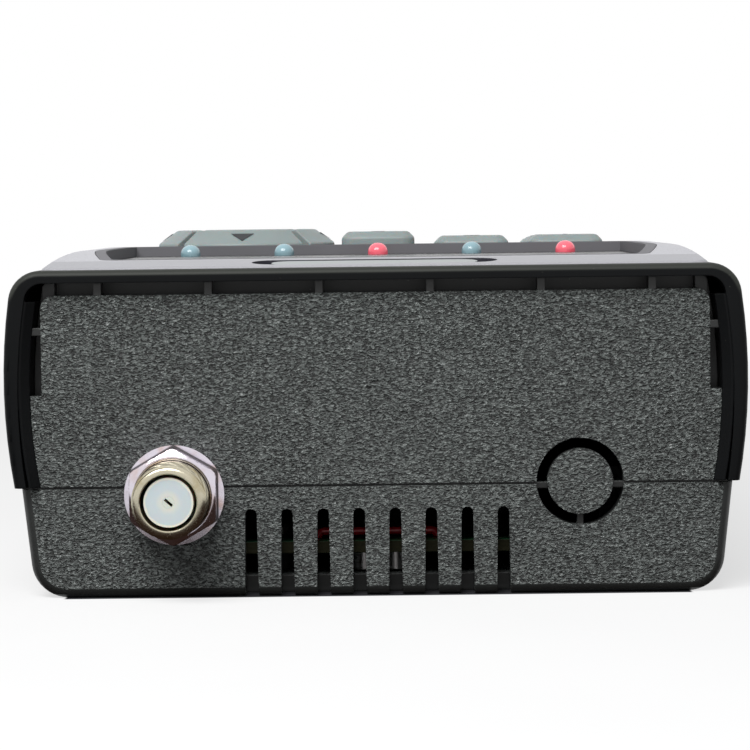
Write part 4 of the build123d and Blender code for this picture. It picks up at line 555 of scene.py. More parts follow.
def satin_plastic(name, colour, roughness, edge=0.0, gloss=0.3, worn=None):
    """Smooth moulded plastic with a fine satin grain, faint flow marks and a few specks of dust. A painted
    highlight, in the colour given as worn, shows on the rounded rims along the top of the hood's two ends."""
    finish = Finish(name)
    place = finish.place()
    fine = finish.noise(place, 0.11 * MM)
    broad = finish.noise(place, [14 * MM, 30 * MM, 9 * MM], distort=0.4)
    specks = finish.cells(place, 1.3 * MM)
    dust = finish.step(specks, 0.05, 0.02) * 0.4
    dark = scaled(colour, 0.85)
    light = scaled(colour, 1.2)
    tint = finish.blend(broad, dark, light)
    # The worn colour is a painted highlight on the rims along the top of the hood, not wear.
    if worn:
        facing_x, facing_y, facing_z = finish.outwards()
        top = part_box("hood")[1].z
        above = finish.step(finish.parts(place)[2], top - 5 * MM, top - 1.5 * MM)
        rim = facing_y.math("MINIMUM", facing_x.math("MAXIMUM", facing_z)) * above
        tint = finish.blend(finish.step(rim, 0.08, 0.35) * (0.65 + fine * 0.4), tint, worn)
    return finish.shade(
        base_color=finish.blend(dust, tint, (0.22, 0.21, 0.18)),
        roughness=roughness + (broad - 0.5) * 0.12 + (fine - 0.5) * 0.1,
        specular_ior_level=gloss,
        normal=finish.bump(fine, 0.004 * MM, edge),
    )


def silver_paint(colours, sizes):
    """Satin silver paint: flakes that differ in brightness over a faint orange-peel relief. The strips at
    the two ends and the sloping rims are painted darker as shade, and the recess of the badge is painted
    near black as shade."""
    finish = Finish("silver_paint")
    place = finish.place()
    flakes = finish.noise(place, sizes.silver_grain, rough=0.6)
    peel = finish.noise(place, 1.1 * MM, detail=1.0)
    broad = finish.noise(place, 18 * MM, detail=1.0)
    dark = scaled(colours.silver, 0.78)
    light = scaled(colours.silver, 1.15)
    across, along, up = finish.parts(place)
    badge_low, badge_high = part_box("badge_plate")
    badge_middle = (badge_low + badge_high) / 2
    beside = abs(across) < (badge_high.x - badge_low.x) / 2 + BADGE_END_MARGIN
    near = abs(along - badge_middle.y) < (badge_high.y - badge_low.y) / 2 + BADGE_SIDE_MARGIN
    facing_z = finish.outwards()[2]
    face_slope = 0.07
    sunk = up < badge_high.z - 0.02 * MM + (along - badge_high.y) * face_slope
    # bare marks the recess of the badge, whose floor and walls are painted near black as shade.
    bare = near * beside * sunk.math("MAXIMUM", facing_z < 0.6)
    painted = finish.blend(finish.step(flakes, 0.32, 0.68), dark, light)
    low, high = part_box("hood")
    beyond = abs(along - (low.y + high.y) / 2) - (high.y - low.y) / 2
    # Painted shade on the strips at the two ends and on the sloping rims, from shaded and lit copies of the
    # silver.
    end_strip = finish.step(beyond, -FACE_STRIP, 0.3 * MM - FACE_STRIP)
    rim = end_strip.math("MAXIMUM", finish.step(facing_z, 0.975, 0.95))
    shaded = scaled(colours.silver, 0.45)
    lit = scaled(colours.silver, 0.88)
    painted = finish.blend(rim * 0.75, painted, finish.blend(flakes, shaded, lit))
    return finish.shade(
        base_color=finish.blend(bare, painted, (0.012, 0.012, 0.02)),
        metallic=(1 - bare) * (0.34 - rim * 0.1),
        roughness=0.5 + (flakes - 0.5) * 0.25 + (broad - 0.5) * 0.08,
        normal=finish.bump(flakes * 0.4 + peel, 0.006 * MM, sizes.edge_round * 1.5),
    )


def brushed_metal(name, colour, roughness, grain, metallic=1.0):
    """Metal brushed along the long side of its grain, with streaks in brightness and gloss."""
    finish = Finish(name)
    place = finish.place()
    streaks = finish.noise(place, grain, detail=3.0, rough=0.6)
    blotches = finish.noise(place, 5 * MM)
    dark = scaled(colour, 0.72)
    light = scaled(colour, 1.12)
    return finish.shade(
        base_color=finish.blend(streaks * 0.7 + blotches * 0.3, dark, light),
        metallic=metallic,
        roughness=roughness + (streaks - 0.5) * 0.2 + (blotches - 0.5) * 0.08,
        normal=finish.bump(streaks, 0.004 * MM),
    )


def nickel_plate(name, colour, warm, roughness):
    """Bright nickel over brass: faint warm patches, fine turning marks and small pits, with a painted
    shade, dark and matt, in the corner between the nut's foot and the washer."""
    finish = Finish(name)
    place = finish.place()
    turning = finish.noise(place, [2.2 * MM, 0.07 * MM, 2.2 * MM])
    patches = finish.noise(place, 2.4 * MM)
    pits = finish.step(finish.cells(place, 0.42 * MM), 0.16, 0.05)
    across, along, up = finish.parts(place)
    low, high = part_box("socket_nut")
    sideways = abs(across - (low.x + high.x) / 2)
    upwards = abs(up - (low.z + high.z) / 2)
    hexagon = sideways.math("MAXIMUM", sideways * cos(radians(60)) + upwards * sin(radians(60)))
    half_flats = (high.x - low.x) / 2
    beside = finish.step(hexagon, half_flats + 0.24 * MM, half_flats + 0.05 * MM)
    # Painted shade, dark and matt, on the washer along the foot of the nut.
    corner_shade = beside * finish.step(along, high.y - 0.45 * MM, high.y - 0.15 * MM) * 0.9
    tint = finish.blend(finish.step(patches, 0.45, 0.8), colour, warm)
    return finish.shade(
        base_color=finish.blend(corner_shade, tint, (0.02, 0.016, 0.014)),
        metallic=1 - corner_shade,
        roughness=roughness + patches * 0.12 + pits * 0.2 + corner_shade * 0.4,
        normal=finish.bump(turning * 0.5 + patches * 1.5 - pits * 0.6, 0.006 * MM),
    )


def silicone_rubber(name, colour):
    """Pale translucent rubber: milky, softly mottled and finely matt."""
    finish = Finish(name)
    place = finish.place()
    cloud = finish.noise(place, 3.5 * MM)
    matt = finish.noise(place, 0.09 * MM, detail=1.0)
    dark = scaled(colour, 0.9)
    light = scaled(colour, 1.1)
    return finish.shade(
        base_color=finish.blend(cloud, dark, light),
        roughness=0.46 + (matt - 0.5) * 0.15,
        subsurface_weight=0.35,
        subsurface_scale=2.0 * MM,
        normal=finish.bump(matt, 0.004 * MM),
    )


def lamp_resin(name, colour, glow):
    """Dyed clear resin of a lamp, paler towards the crown of its dome as a painted highlight, and with a
    painted glow.
    """
    finish = Finish(name)
    place = finish.place()
    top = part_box(name)[1].z
    # The paler crown of the dome is a painted highlight.
    crown = finish.step(finish.parts(place)[2], top - 3 * MM, top)
    swirl = finish.noise(place, 1.5 * MM, detail=1.0)
    deep = scaled(colour, 0.55)
    pale = scaled(colour, 1.1, 0.08)
    tint = finish.blend(crown * 0.8 + swirl * 0.2, deep, pale)
    return finish.shade(
        base_color=tint,
        roughness=0.16 + swirl * 0.08,
        coat_weight=0.4,
        # The emission is a painted glow, in the resin's own colour.
        emission_color=tint,
        emission_strength=glow,
    )


def window_tint(colour):
    """Smoked window: clear over the display and printed black round it, with a satin anti-glare face."""
    finish = Finish("window_tint")
    place = finish.place()
    printed_margin = 1.2 * MM
    outside = finish.outside(place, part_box("display_glass"), printed_margin, 0.2 * MM)
    satin = finish.noise(place, 0.09 * MM, detail=1.0)
    smudge = finish.noise(place, [9 * MM, 16 * MM, 9 * MM], detail=3.0, distort=0.8)
    return finish.shade(
        base_color=finish.blend(outside, colour, (0.012, 0.012, 0.014)),
        roughness=0.22 + smudge * 0.04 + satin * 0.06,
        transmission_weight=0.85,
        ior=1.46,
        specular_ior_level=0.3,
        normal=finish.bump(satin, 0.002 * MM),
    )


def display_face():
    """Dark display: a faintly lighter active field inside its black border."""
    finish = Finish("display_face")
    place = finish.place()
    border = 3.2 * MM
    outside = finish.outside(place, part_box("display_glass"), border, 0.05 * MM)
    film = finish.noise(place, 12 * MM, detail=1.0)
    field = finish.blend(film, (0.030, 0.034, 0.040), (0.040, 0.044, 0.052))
    return finish.shade(
        base_color=finish.blend(outside, field, (0.006, 0.006, 0.007)),
        roughness=0.08 + film * 0.05,
        coat_weight=0.5,
    )


def circuit_board():
    """Green board: solder mask over darker tracks on its faces, and bare olive laminate on its edges."""
    finish = Finish("circuit_board")
    place = finish.place()
    edge = finish.step(finish.outwards()[2], 0.6, 0.4)
    tracks = finish.cells(place, [2.4 * MM, 3.6 * MM, 2.4 * MM], "DISTANCE_TO_EDGE")
    track = finish.step(tracks, 0.12, 0.08)
    pads = finish.step(finish.cells(place, 2.54 * MM), 0.16, 0.12)
    mask = finish.blend(track, (0.007, 0.032, 0.014), (0.012, 0.055, 0.022))
    layers = finish.noise(place, [3 * MM, 3 * MM, 0.18 * MM])
    laminate = finish.blend(layers, (0.010, 0.010, 0.005), (0.028, 0.026, 0.012))
    surface = finish.blend(pads * 0.8, mask, (0.45, 0.42, 0.36))
    return finish.shade(
        base_color=finish.blend(edge, surface, laminate),
        roughness=0.32 + edge * 0.4,
        metallic=pads * (1 - edge) * 0.7,
        specular_ior_level=0.12,
        normal=finish.bump(track + pads, 0.02 * MM),
    )


def insulator_plastic():
    """White insulator: a pale grey disc with a cream centre and a painted highlight round its rim."""
    finish = Finish("insulator_plastic")
    place = finish.place()
    centre = middle_of("socket_contact")
    across, _, up = finish.parts(place)
    radius = ((across - centre.x) ** 2 + (up - centre.z) ** 2).math("SQRT")
    disc_radius = 3.15 * MM
    reach = radius / disc_radius
    mottle = finish.noise(place, 1.2 * MM)
    stops = [
        (0.0, (0.86, 0.82, 0.68)),
        (0.30, (0.82, 0.82, 0.74)),
        (0.52, (0.68, 0.76, 0.78)),
        (0.89, (0.66, 0.74, 0.76)),
        # A painted highlight round the rim of the disc.
        (0.94, (0.95, 0.92, 0.80)),
        (1.0, (0.88, 0.84, 0.72)),
    ]
    rings = finish.node("ShaderNodeValToRGB", {"stops": stops}, {0: reach + (mottle - 0.5) * 0.06})
    return finish.shade(
        base_color=rings,
        roughness=0.42 + mottle * 0.1,
        subsurface_weight=0.2,
        subsurface_scale=1.0 * MM,
    )


def contact_face():
    """Spring contact: a worn brassy front, and a near-black painted shade on all that lies deeper, inside
    its slit.
    """
    finish = Finish("contact_face")
    place = finish.place()
    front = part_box("socket_contact")[0].y
    depth = finish.parts(place)[1]
    # All but the front face of the contact is painted near black, as the shade inside the slit.
    inside = finish.step(depth, front + 0.02 * MM, front + 0.06 * MM)
    mottle = finish.noise(place, 0.3 * MM)
    cream = finish.blend(mottle, (0.30, 0.26, 0.16), (0.42, 0.38, 0.26))
    return finish.shade(
        base_color=finish.blend(inside, cream, (0.012, 0.012, 0.014)),
        metallic=inside * 0.5,
        roughness=0.4 + mottle * 0.1,
    )


def slit_face(radius, length, width, turn):
    """Outlines of a disc with a slanting slit through it."""
    slit = np.array(bar_outline(length, width))
    lean = np.array([[cos(turn), -sin(turn)], [sin(turn), cos(turn)]])
    return [ring_points(radius)[:-1], (slit @ lean.T).tolist()]


def ribbon_film():
    """White ribbon film with a pale grey stripe over each of its wires."""
    finish = Finish("ribbon_film")
    place = finish.place()
    across = finish.parts(place)[0]
    wire_pitch = 1.27 * MM
    stripe = (across * (tau / wire_pitch)).math("SINE")
    blotch = finish.noise(place, 4 * MM, detail=1.0)
    share = finish.step(stripe, -0.3, 0.6) * 0.8 + blotch * 0.2
    return finish.shade(
        base_color=finish.blend(share, (0.74, 0.73, 0.68), (0.42, 0.42, 0.41)),
        roughness=0.45 + blotch * 0.1,
    )


def gloss_wrap(name, colour):
    """Glossy wrap or insulation with soft creases, painted darker in their hollows as shade and lighter on
    their ridges as light.
    """
    finish = Finish(name)
    place = finish.place()
    creases = finish.noise(place, [6 * MM, 2 * MM, 6 * MM], detail=3.0, distort=0.5)
    # Painted shade in the hollows of the creases and painted light on their ridges.
    dark = scaled(colour, 0.75)
    light = scaled(colour, 1.2)
    return finish.shade(
        base_color=finish.blend(creases, dark, light),
        roughness=0.22 + creases * 0.12,
        normal=finish.bump(creases, 0.03 * MM),
    )


def printed_ink(colours):
    """Matt ink, a little thinner where the rubber's grain shows through."""
    finish = Finish("printed_ink")
    place = finish.place()
    thin = finish.noise(place, 0.2 * MM)
    faded = scaled(colours.ink, 2.5, 0.01)
    return finish.shade(base_color=finish.blend(thin, colours.ink, faded), roughness=0.5 + thin * 0.2)


def carry(piece, node, material, replaced=True):
    """Gives a piece its material and the body of the node that it belongs to or replaces, and hides a node
    that it replaces. The node's slot is looked up but not given to the piece.
    """
    piece.data.materials.clear()
    piece.data.materials.append(material)
    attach(piece, body_of(node))
    slot_of(node)
    if replaced:
        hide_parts(node)


def add_object(name, mesh):
    """An object at the origin that holds a mesh."""
    piece = bpy.data.objects.new(name, mesh)
    bpy.context.scene.collection.objects.link(piece)
    return piece


def dressed_copy(node, material, edge_width=0.0, crease=32):
    """Puts in a copy of a node with its points merged, its flat faces joined and its curved faces shaded
    smooth. An edge width also gives edges sharper than the crease angle a narrow bevel."""
    mesh = frame["nodes"][node].data.copy()
    mesh.name = node + "_dressed"
    shape = bmesh.new()
    shape.from_mesh(mesh)
    bmesh.ops.remove_doubles(shape, verts=shape.verts, dist=0.001 * MM)
    bmesh.ops.dissolve_limit(shape, angle_limit=radians(0.3), verts=shape.verts, edges=shape.edges)
    shape.to_mesh(mesh)
    shape.free()
    if "custom_normal" in mesh.attributes:
        mesh.attributes.remove(mesh.attributes["custom_normal"])
    mesh.shade_smooth()
    mesh.set_sharp_from_angle(angle=radians(crease))
    piece = add_object(node + "_dressed", mesh)
    if edge_width > 0:
        bevel = piece.modifiers.new("edge_round", "BEVEL")
        bevel.width = edge_width
        bevel.segments = 2
        bevel.limit_method = "ANGLE"
        bevel.angle_limit = radians(crease)
        bevel.harden_normals = True
        bevel.use_clamp_overlap = False
        bevel.miter_outer = "MITER_ARC"
    carry(piece, node, material)


def surface_mesh(name, points, close_rows=False, close_columns=True):
    """A mesh from a grid of points: four-sided faces join each row to the next and each column to the
    next, and the last to the first where the grid is closed."""
    rows, columns = points.shape[:2]
    row = np.arange(rows if close_rows else rows - 1)[:, None]
    column = np.arange(columns if close_columns else columns - 1)[None, :]
    next_row = (row + 1) % rows
    next_column = (column + 1) % columns
    corners = [
        row * columns + column,
        row * columns + next_column,
        next_row * columns + next_column,
        next_row * columns + column,
    ]
    faces = np.stack([np.broadcast_to(corner, (row.size, column.size)) for corner in corners], axis=-1)
    faces = faces.reshape(-1, 4)
    mesh = bpy.data.meshes.new(name)
    mesh.vertices.add(rows * columns)
    mesh.vertices.foreach_set("co", points.reshape(-1).astype(np.float32))
    mesh.loops.add(faces.size)
    mesh.loops.foreach_set("vertex_index", faces.reshape(-1).astype(np.int32))
    mesh.polygons.add(len(faces))
    mesh.polygons.foreach_set("loop_start", np.arange(0, faces.size, 4, dtype=np.int32))
    mesh.update(calc_edges=True)
    mesh.validate()
    mesh.shade_smooth()
    return mesh


def turned_surface(name, node, ring_y, radius, crease):
    """Closed rings round the axis along y through the middle of a node's box. Each row of radius is one
    ring, whose columns share the full turn evenly: x and z are the middle plus the radius times the cosine
    and the sine of the angle, and y is the ring's own."""
    low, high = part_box(node)
    angle = np.arange(radius.shape[1]) * tau / radius.shape[1]
    points = np.stack([
        (low.x + high.x) / 2 + radius * np.cos(angle)[None, :],
        np.broadcast_to(ring_y[:, None], radius.shape),
        (low.z + high.z) / 2 + radius * np.sin(angle)[None, :],
    ], axis=-1)
    mesh = surface_mesh(name, points, close_rows=True)
    mesh.set_sharp_from_angle(angle=radians(crease))
    return mesh


def threaded_barrel(sizes):
    """The socket barrel as rings round its axis. Along the thread a ring's radius is the crest less the
    thread depth times a triangle wave of y over the pitch less the angle over a full turn, cut flat at
    its crests and roots, so that the ridge climbs one pitch a turn. The wave fades in at the tip and out
    at the nut."""
    low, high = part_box("socket_barrel")
    nut_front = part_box("socket_nut")[0].y
    crest = (high.x - low.x) / 2
    bore = crest - 1.15 * MM
    shank = crest - 0.35 * MM
    chamfer = 0.5 * MM
    lip = 0.12 * MM
    turns = 120
    samples = 16
    thread_end = nut_front - 0.1 * MM
    count = int((thread_end - low.y - lip) / sizes.thread_pitch * samples)
    thread_y = np.linspace(low.y + lip, thread_end, count)
    tip_y = [high.y, low.y + lip, low.y, low.y]
    tip_radii = [bore, bore, bore + lip, crest - chamfer - lip]
    thread_radii = np.minimum(crest, crest - chamfer + (thread_y - low.y))
    ring_y = np.concatenate([tip_y, thread_y, [thread_end + 0.2 * MM, high.y]])
    plain = np.concatenate([tip_radii, thread_radii, [shank, shank]])
    fade_in = np.clip((thread_y - low.y) / sizes.thread_pitch, 0, 1)
    fade_out = np.clip((thread_end - thread_y) / sizes.thread_pitch, 0, 1)
    threaded = np.concatenate([np.zeros(len(tip_y)), fade_in * fade_out, np.zeros(2)])
    angle = np.arange(turns) * tau / turns
    phase = ring_y[:, None] / sizes.thread_pitch - angle[None, :] / tau
    wave = np.abs((phase % 1.0) * 2 - 1)
    notch = np.clip(wave * 1.25 - 0.12, 0, 1)
    cut = np.minimum(plain[:, None], crest - sizes.thread_depth * notch)
    radius = plain[:, None] + (cut - plain[:, None]) * threaded[:, None]
    return turned_surface("barrel_thread", "socket_barrel", ring_y, radius, crease=40)


def hexagon_nut():
    """The nut as rings round its axis. A ring's radius is the lesser of its own circle and the hexagon,
    whose radius at an angle is half the width across flats over the cosine of the angle from the nearest
    flat. The front circle grows by the bevel's slope as it goes back, so each corner is cut in an arc."""
    low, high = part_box("socket_nut")
    half_flats = (high.x - low.x) / 2
    reach = (high.z - low.z) / 2
    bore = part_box("socket_barrel")[1].x - (low.x + high.x) / 2 - 0.02 * MM
    edge = 0.14 * MM
    crown = half_flats - 0.2 * MM
    slope = 0.55
    back = high.y - low.y
    bevel = np.linspace(0, (reach - crown) * slope + 0.02 * MM, 12)
    depths = np.concatenate([
        [back, 0.7 * MM, 0.1 * MM, 0.03 * MM, 0.0, 0.0, 0.03 * MM],
        bevel[1:] + 0.06 * MM,
        [back - edge, back - edge * 0.3, back, back],
    ])
    circles = np.concatenate([
        [bore, bore, bore + 0.04 * MM, bore + 0.15 * MM, bore + 0.3 * MM, crown - 0.12 * MM, crown],
        crown + bevel[1:] / slope,
        [reach, reach, reach, bore],
    ])
    draws = np.zeros(len(depths))
    draws[-3:-1] = (edge * 0.3, edge)
    turns = 180
    angle = np.arange(turns) * tau / turns
    from_flat = (angle + pi / 6) % (pi / 3) - pi / 6
    hexagon = half_flats / np.cos(from_flat)
    corner = edge * 0.8 * np.exp(-((np.abs(from_flat) - pi / 6) / 0.05) ** 2)
    radius = np.minimum(circles[:, None], (hexagon - corner)[None, :] - draws[:, None])
    return turned_surface("nut_surface", "socket_nut", low.y + depths, radius, crease=35)


def flat_mark(name, outlines, thickness):
    """A mark cut from flat outlines, of a thickness that z = 0 halves."""
    curve = bpy.data.curves.new(name, "CURVE")
    curve.dimensions = "2D"
    curve.fill_mode = "BOTH"
    curve.extrude = thickness / 2
    for outline in outlines:
        spline = curve.splines.new("POLY")
        spline.points.add(len(outline) - 1)
        flat = [value for x, y in outline for value in (x, y, 0.0, 1.0)]
        spline.points.foreach_set("co", flat)
        spline.use_cyclic_u = True
    return curve


def digit_mark(name, digit, height, thickness):
    """One printed digit as a text curve, centred on the origin."""
    size_per_height = 1.38
    curve = bpy.data.curves.new(name, "FONT")
    curve.body = digit
    curve.size = height * size_per_height
    curve.align_x = "CENTER"
    curve.align_y = "CENTER"
    curve.extrude = thickness / 2
    return curve


def ring_points(radius, start=0.0, end=tau):
    """Forty points along an arc of a circle round the origin."""
    angles = np.linspace(start, end, 40)
    return list(zip(radius * np.cos(angles), radius * np.sin(angles)))


def arrow_outline(width, height):
    """A triangle that points up."""
    return [(-width / 2, -height * 0.45), (width / 2, -height * 0.45), (0.0, height * 0.55)]


def bar_outline(width, height, middle_y=0.0):
    """A rectangle centred on x = 0."""
    half = height / 2
    return [
        (-width / 2, middle_y - half),
        (width / 2, middle_y - half),
        (width / 2, middle_y + half),
        (-width / 2, middle_y + half),
    ]


def set_mark(name, curve, node, place, turn, material, tilt=0.0):
    """Makes a curve a mesh, tilts it about x, turns it about z and sets it at its place on a node."""
    holder = bpy.data.objects.new(name + "_curve", curve)
    bpy.context.scene.collection.objects.link(holder)
    bpy.context.view_layer.update()
    shape = holder.evaluated_get(bpy.context.evaluated_depsgraph_get())
    mesh = bpy.data.meshes.new_from_object(shape)
    bpy.data.objects.remove(holder)
    lean = Matrix.Rotation(tilt, 4, "X")
    mesh.transform(Matrix.Translation(place) @ Matrix.Rotation(turn, 4, "Z") @ lean)
    mesh.name = name
    carry(add_object(name, mesh), node, material, replaced=False)


class METER_OT_shells(bpy.types.Operator):
    """Give the two shells and the battery door their wrinkled plastic"""

    bl_idname = "meter.shells"
    bl_label = "Shells"

    def execute(self, context):
        scene = context.scene
        plastic = wrinkled_plastic(scene.meter_colours, scene.meter_sizes)
        for node in ("rear_shell", "front_shell", "battery_door"):
            dressed_copy(node, plastic)
        return {"FINISHED"}


class METER_OT_hood(bpy.types.Operator):
    """Give the hood its satin plastic, with a painted highlight along the top of its rims"""

    bl_idname = "meter.hood"
    bl_label = "Hood"

    def execute(self, context):
        scene = context.scene
        edge = scene.meter_sizes.edge_round * 1.5
        # worn is the colour of the painted highlight on the hood's top rims.
        worn = (0.046, 0.049, 0.043)
        colour = scene.meter_colours.hood
        plastic = satin_plastic("hood_plastic", colour, roughness=0.40, edge=edge, gloss=0.1, worn=worn)
        dressed_copy("hood", plastic)
        return {"FINISHED"}


class METER_OT_face(bpy.types.Operator):
    """Paint the silver face and brush the bare badge"""

    bl_idname = "meter.face"
    bl_label = "Silver face"

    def execute(self, context):
        scene = context.scene
        dressed_copy("face_plate", silver_paint(scene.meter_colours, scene.meter_sizes))
        grey = (0.42, 0.45, 0.45)
        grain = (3 * MM, 0.08 * MM, 3 * MM)
        brushed = brushed_metal("badge_metal", grey, roughness=0.42, grain=grain, metallic=0.6)
        dressed_copy("badge_plate", brushed)
        return {"FINISHED"}


class METER_OT_window(bpy.types.Operator):
    """Fit the smoked window, the display and the dark panel of the keys"""

    bl_idname = "meter.window"
    bl_label = "Window and display"

    def execute(self, context):
        edge = context.scene.meter_sizes.edge_round
        dressed_copy("display_window", window_tint((0.16, 0.17, 0.18)))
        dressed_copy("display_glass", display_face(), edge / 2)
        frame_plastic = satin_plastic("display_frame_plastic", (0.012, 0.012, 0.013), roughness=0.5)
        dressed_copy("display_frame", frame_plastic, edge)
        grey = (0.18, 0.178, 0.19)
        panel_plastic = satin_plastic("panel_plastic", grey, roughness=0.6, edge=edge * 1.5, gloss=0.15)
        dressed_copy("key_panel", panel_plastic)
        return {"FINISHED"}


class METER_OT_lamps(bpy.types.Operator):
    """Give the indicator lamps their dyed resin"""

    bl_idname = "meter.lamps"
    bl_label = "Indicator lamps"

    def execute(self, context):
        colours = context.scene.meter_colours
        dressed_copy("red_lamps", lamp_resin("red_lamps", colours.red_lamp, glow=0.35))
        dressed_copy("blue_lamps", lamp_resin("blue_lamps", colours.blue_lamp, glow=0.06))
        return {"FINISHED"}


class METER_OT_keys(bpy.types.Operator):
    """Give the keys and their mat the pale silicone"""

    bl_idname = "meter.keys"
    bl_label = "Keys"

    def execute(self, context):
        scene = context.scene
        rubber = silicone_rubber("key_silicone", scene.meter_colours.silicone)
        for node in ALL_KEYS:
            dressed_copy(node, rubber, KEY_EDGE, crease=KEY_CREASE)
        mat = silicone_rubber("mat_silicone", (0.30, 0.33, 0.33))
        dressed_copy("key_mat", mat, scene.meter_sizes.edge_round)
        return {"FINISHED"}


class METER_OT_key_marks(bpy.types.Operator):
    """Print a digit or a plain symbol on each key, read from the far end of the case"""

    bl_idname = "meter.key_marks"
    bl_label = "Key marks"

    def execute(self, context):
        scene = context.scene
        sizes = scene.meter_sizes
        ink = printed_ink(scene.meter_colours)
        lift = Vector((0, 0, sizes.mark_thickness / 2))
        for node in NUMBER_KEYS:
            curve = digit_mark(node + "_digit", node[-1], sizes.mark_height, sizes.mark_thickness)
            set_mark(node + "_digit", curve, node, top_of(node) + lift, pi, ink)
        self.print_symbols(sizes, lift, ink)
        self.print_arrows(sizes, lift, ink)
        return {"FINISHED"}

    def print_symbols(self, sizes, lift, ink):
        """Prints a bent arrow, a tick, three bars, a broken ring with a bar, and a ring."""
        unit = sizes.mark_height / 2
        stroke = unit * 0.26
        broken_ring = ring_points(unit, radians(120), radians(420))
        broken_ring += ring_points(unit - stroke, radians(420), radians(120))
        tick = [
            (-unit, 0.0),
            (-unit + stroke * 1.1, stroke * 1.1),
            (-unit * 0.3, -unit * 0.25),
            (unit * 0.9, unit * 0.95),
            (unit * 0.9 + stroke, unit * 0.95 - stroke),
            (-unit * 0.3, -unit * 0.25 - stroke * 2.4),
        ]
        back = [
            (-unit, 0.0),
            (-unit * 0.2, unit * 0.7),
            (-unit * 0.2, stroke / 2),
            (unit, stroke / 2),
            (unit, -stroke / 2),
            (-unit * 0.2, -stroke / 2),
            (-unit * 0.2, -unit * 0.7),
        ]
        symbols = {
            "key_back": [back],
            "key_enter": [tick],
            "key_menu": [bar_outline(unit * 1.9, stroke, level * unit * 0.65) for level in (-1, 0, 1)],
            "key_power": [broken_ring, bar_outline(stroke, unit, unit * 0.62)],
            "key_select": [ring_points(unit * 0.8)[:-1], ring_points(unit * 0.8 - stroke)[:-1]],
        }
        for node, outlines in symbols.items():
            curve = flat_mark(node + "_symbol", outlines, sizes.mark_thickness)
            set_mark(node + "_symbol", curve, node, top_of(node) + lift, pi, ink)

    def print_arrows(self, sizes, lift, ink):
        """Prints a triangle on the outer slope of each sector of the ring, pointing outwards."""
        hub = middle_of("key_select")
        crown_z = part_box("key_up")[1].z
        crown_radius = 11.6 * MM
        slope = radians(-33.7)
        reach = 13.3 * MM
        arrow = arrow_outline(width=3.8 * MM, height=2.1 * MM)
        away = {"key_up": 0, "key_right": -pi / 2, "key_down": pi, "key_left": pi / 2}
        for node, turn in away.items():
            direction = turn + pi
            outward = Vector((-sin(direction), cos(direction), 0.0))
            place = Vector((hub.x, hub.y, crown_z + tan(slope) * (reach - crown_radius))) + outward * reach
            curve = flat_mark(node + "_arrow", [arrow], sizes.mark_thickness)
            place += lift * 1.5
            set_mark(node + "_arrow", curve, node, place, direction, ink, tilt=slope)


class METER_OT_socket(bpy.types.Operator):
    """Cut the thread of the aerial socket and plate it, with its washer, nut, insulator and contact"""

    bl_idname = "meter.socket"
    bl_label = "Aerial socket"

    def execute(self, context):
        scene = context.scene
        colours = scene.meter_colours
        nickel = nickel_plate("nickel_plate", colours.nickel, warm=(0.62, 0.46, 0.42), roughness=0.10)
        worn = nickel_plate("worn_nickel", colours.worn_nickel, warm=(0.40, 0.33, 0.18), roughness=0.18)
        mesh = threaded_barrel(scene.meter_sizes)
        carry(add_object("socket_barrel_threaded", mesh), "socket_barrel", worn)
        nut = hexagon_nut()
        carry(add_object("socket_nut_surface", nut), "socket_nut", nickel)
        dressed_copy("socket_washer", nickel)
        white = insulator_plastic()
        dressed_copy("socket_insulator", white)
        front = middle_of("socket_contact")
        front.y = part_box("socket_insulator")[0].y + 0.06 * MM
        outlines = slit_face(SLIT_DISC_RADIUS, SLIT_LENGTH, SLIT_WIDTH, SLIT_TURN)
        face = flat_mark("insulator_slit", outlines, thickness=0.1 * MM)
        set_mark("insulator_slit", face, "socket_insulator", front, 0, white, tilt=pi / 2)
        dressed_copy("socket_contact", contact_face())
        return {"FINISHED"}


class METER_OT_boards(bpy.types.Operator):
    """Finish the boards, the tuner box and the small pieces on them"""

    bl_idname = "meter.boards"
    bl_label = "Boards"

    def execute(self, context):
        edge = context.scene.meter_sizes.edge_round
        sheet_grain = (6 * MM, 6 * MM, 0.3 * MM)
        can_grain = (2 * MM, 2 * MM, 0.2 * MM)
        screw_grain = (0.6 * MM, 0.6 * MM, 0.6 * MM)
        board = circuit_board()
        tin = brushed_metal("tinned_sheet", (0.62, 0.61, 0.58), roughness=0.34, grain=sheet_grain)
        can = brushed_metal("can_aluminium", (0.62, 0.62, 0.62), roughness=0.3, grain=can_grain)
        white = satin_plastic("header_plastic", (0.62, 0.61, 0.55), roughness=0.45)
        black = satin_plastic("moulded_part", (0.02, 0.02, 0.02), roughness=0.45)
        wire = gloss_wrap("wire_insulation", (0.90, 0.012, 0.03))
        steel = brushed_metal("zinc_steel", (0.5, 0.49, 0.46), roughness=0.36, grain=screw_grain)
        finishes = {
            "upper_board": board,
            "main_board": board,
            "tuner_box": tin,
            "board_capacitors": can,
            "ribbon_headers": white,
            "battery_plug": white,
            "sounder": black,
            "supply_link": wire,
            "battery_leads": wire,
            "board_screws": steel,
            "ribbon_cable": ribbon_film(),
            "battery_pack": gloss_wrap("pack_film", (0.03, 0.13, 0.36)),
        }
        for node, finish in finishes.items():
            dressed_copy(node, finish, edge)
        return {"FINISHED"}


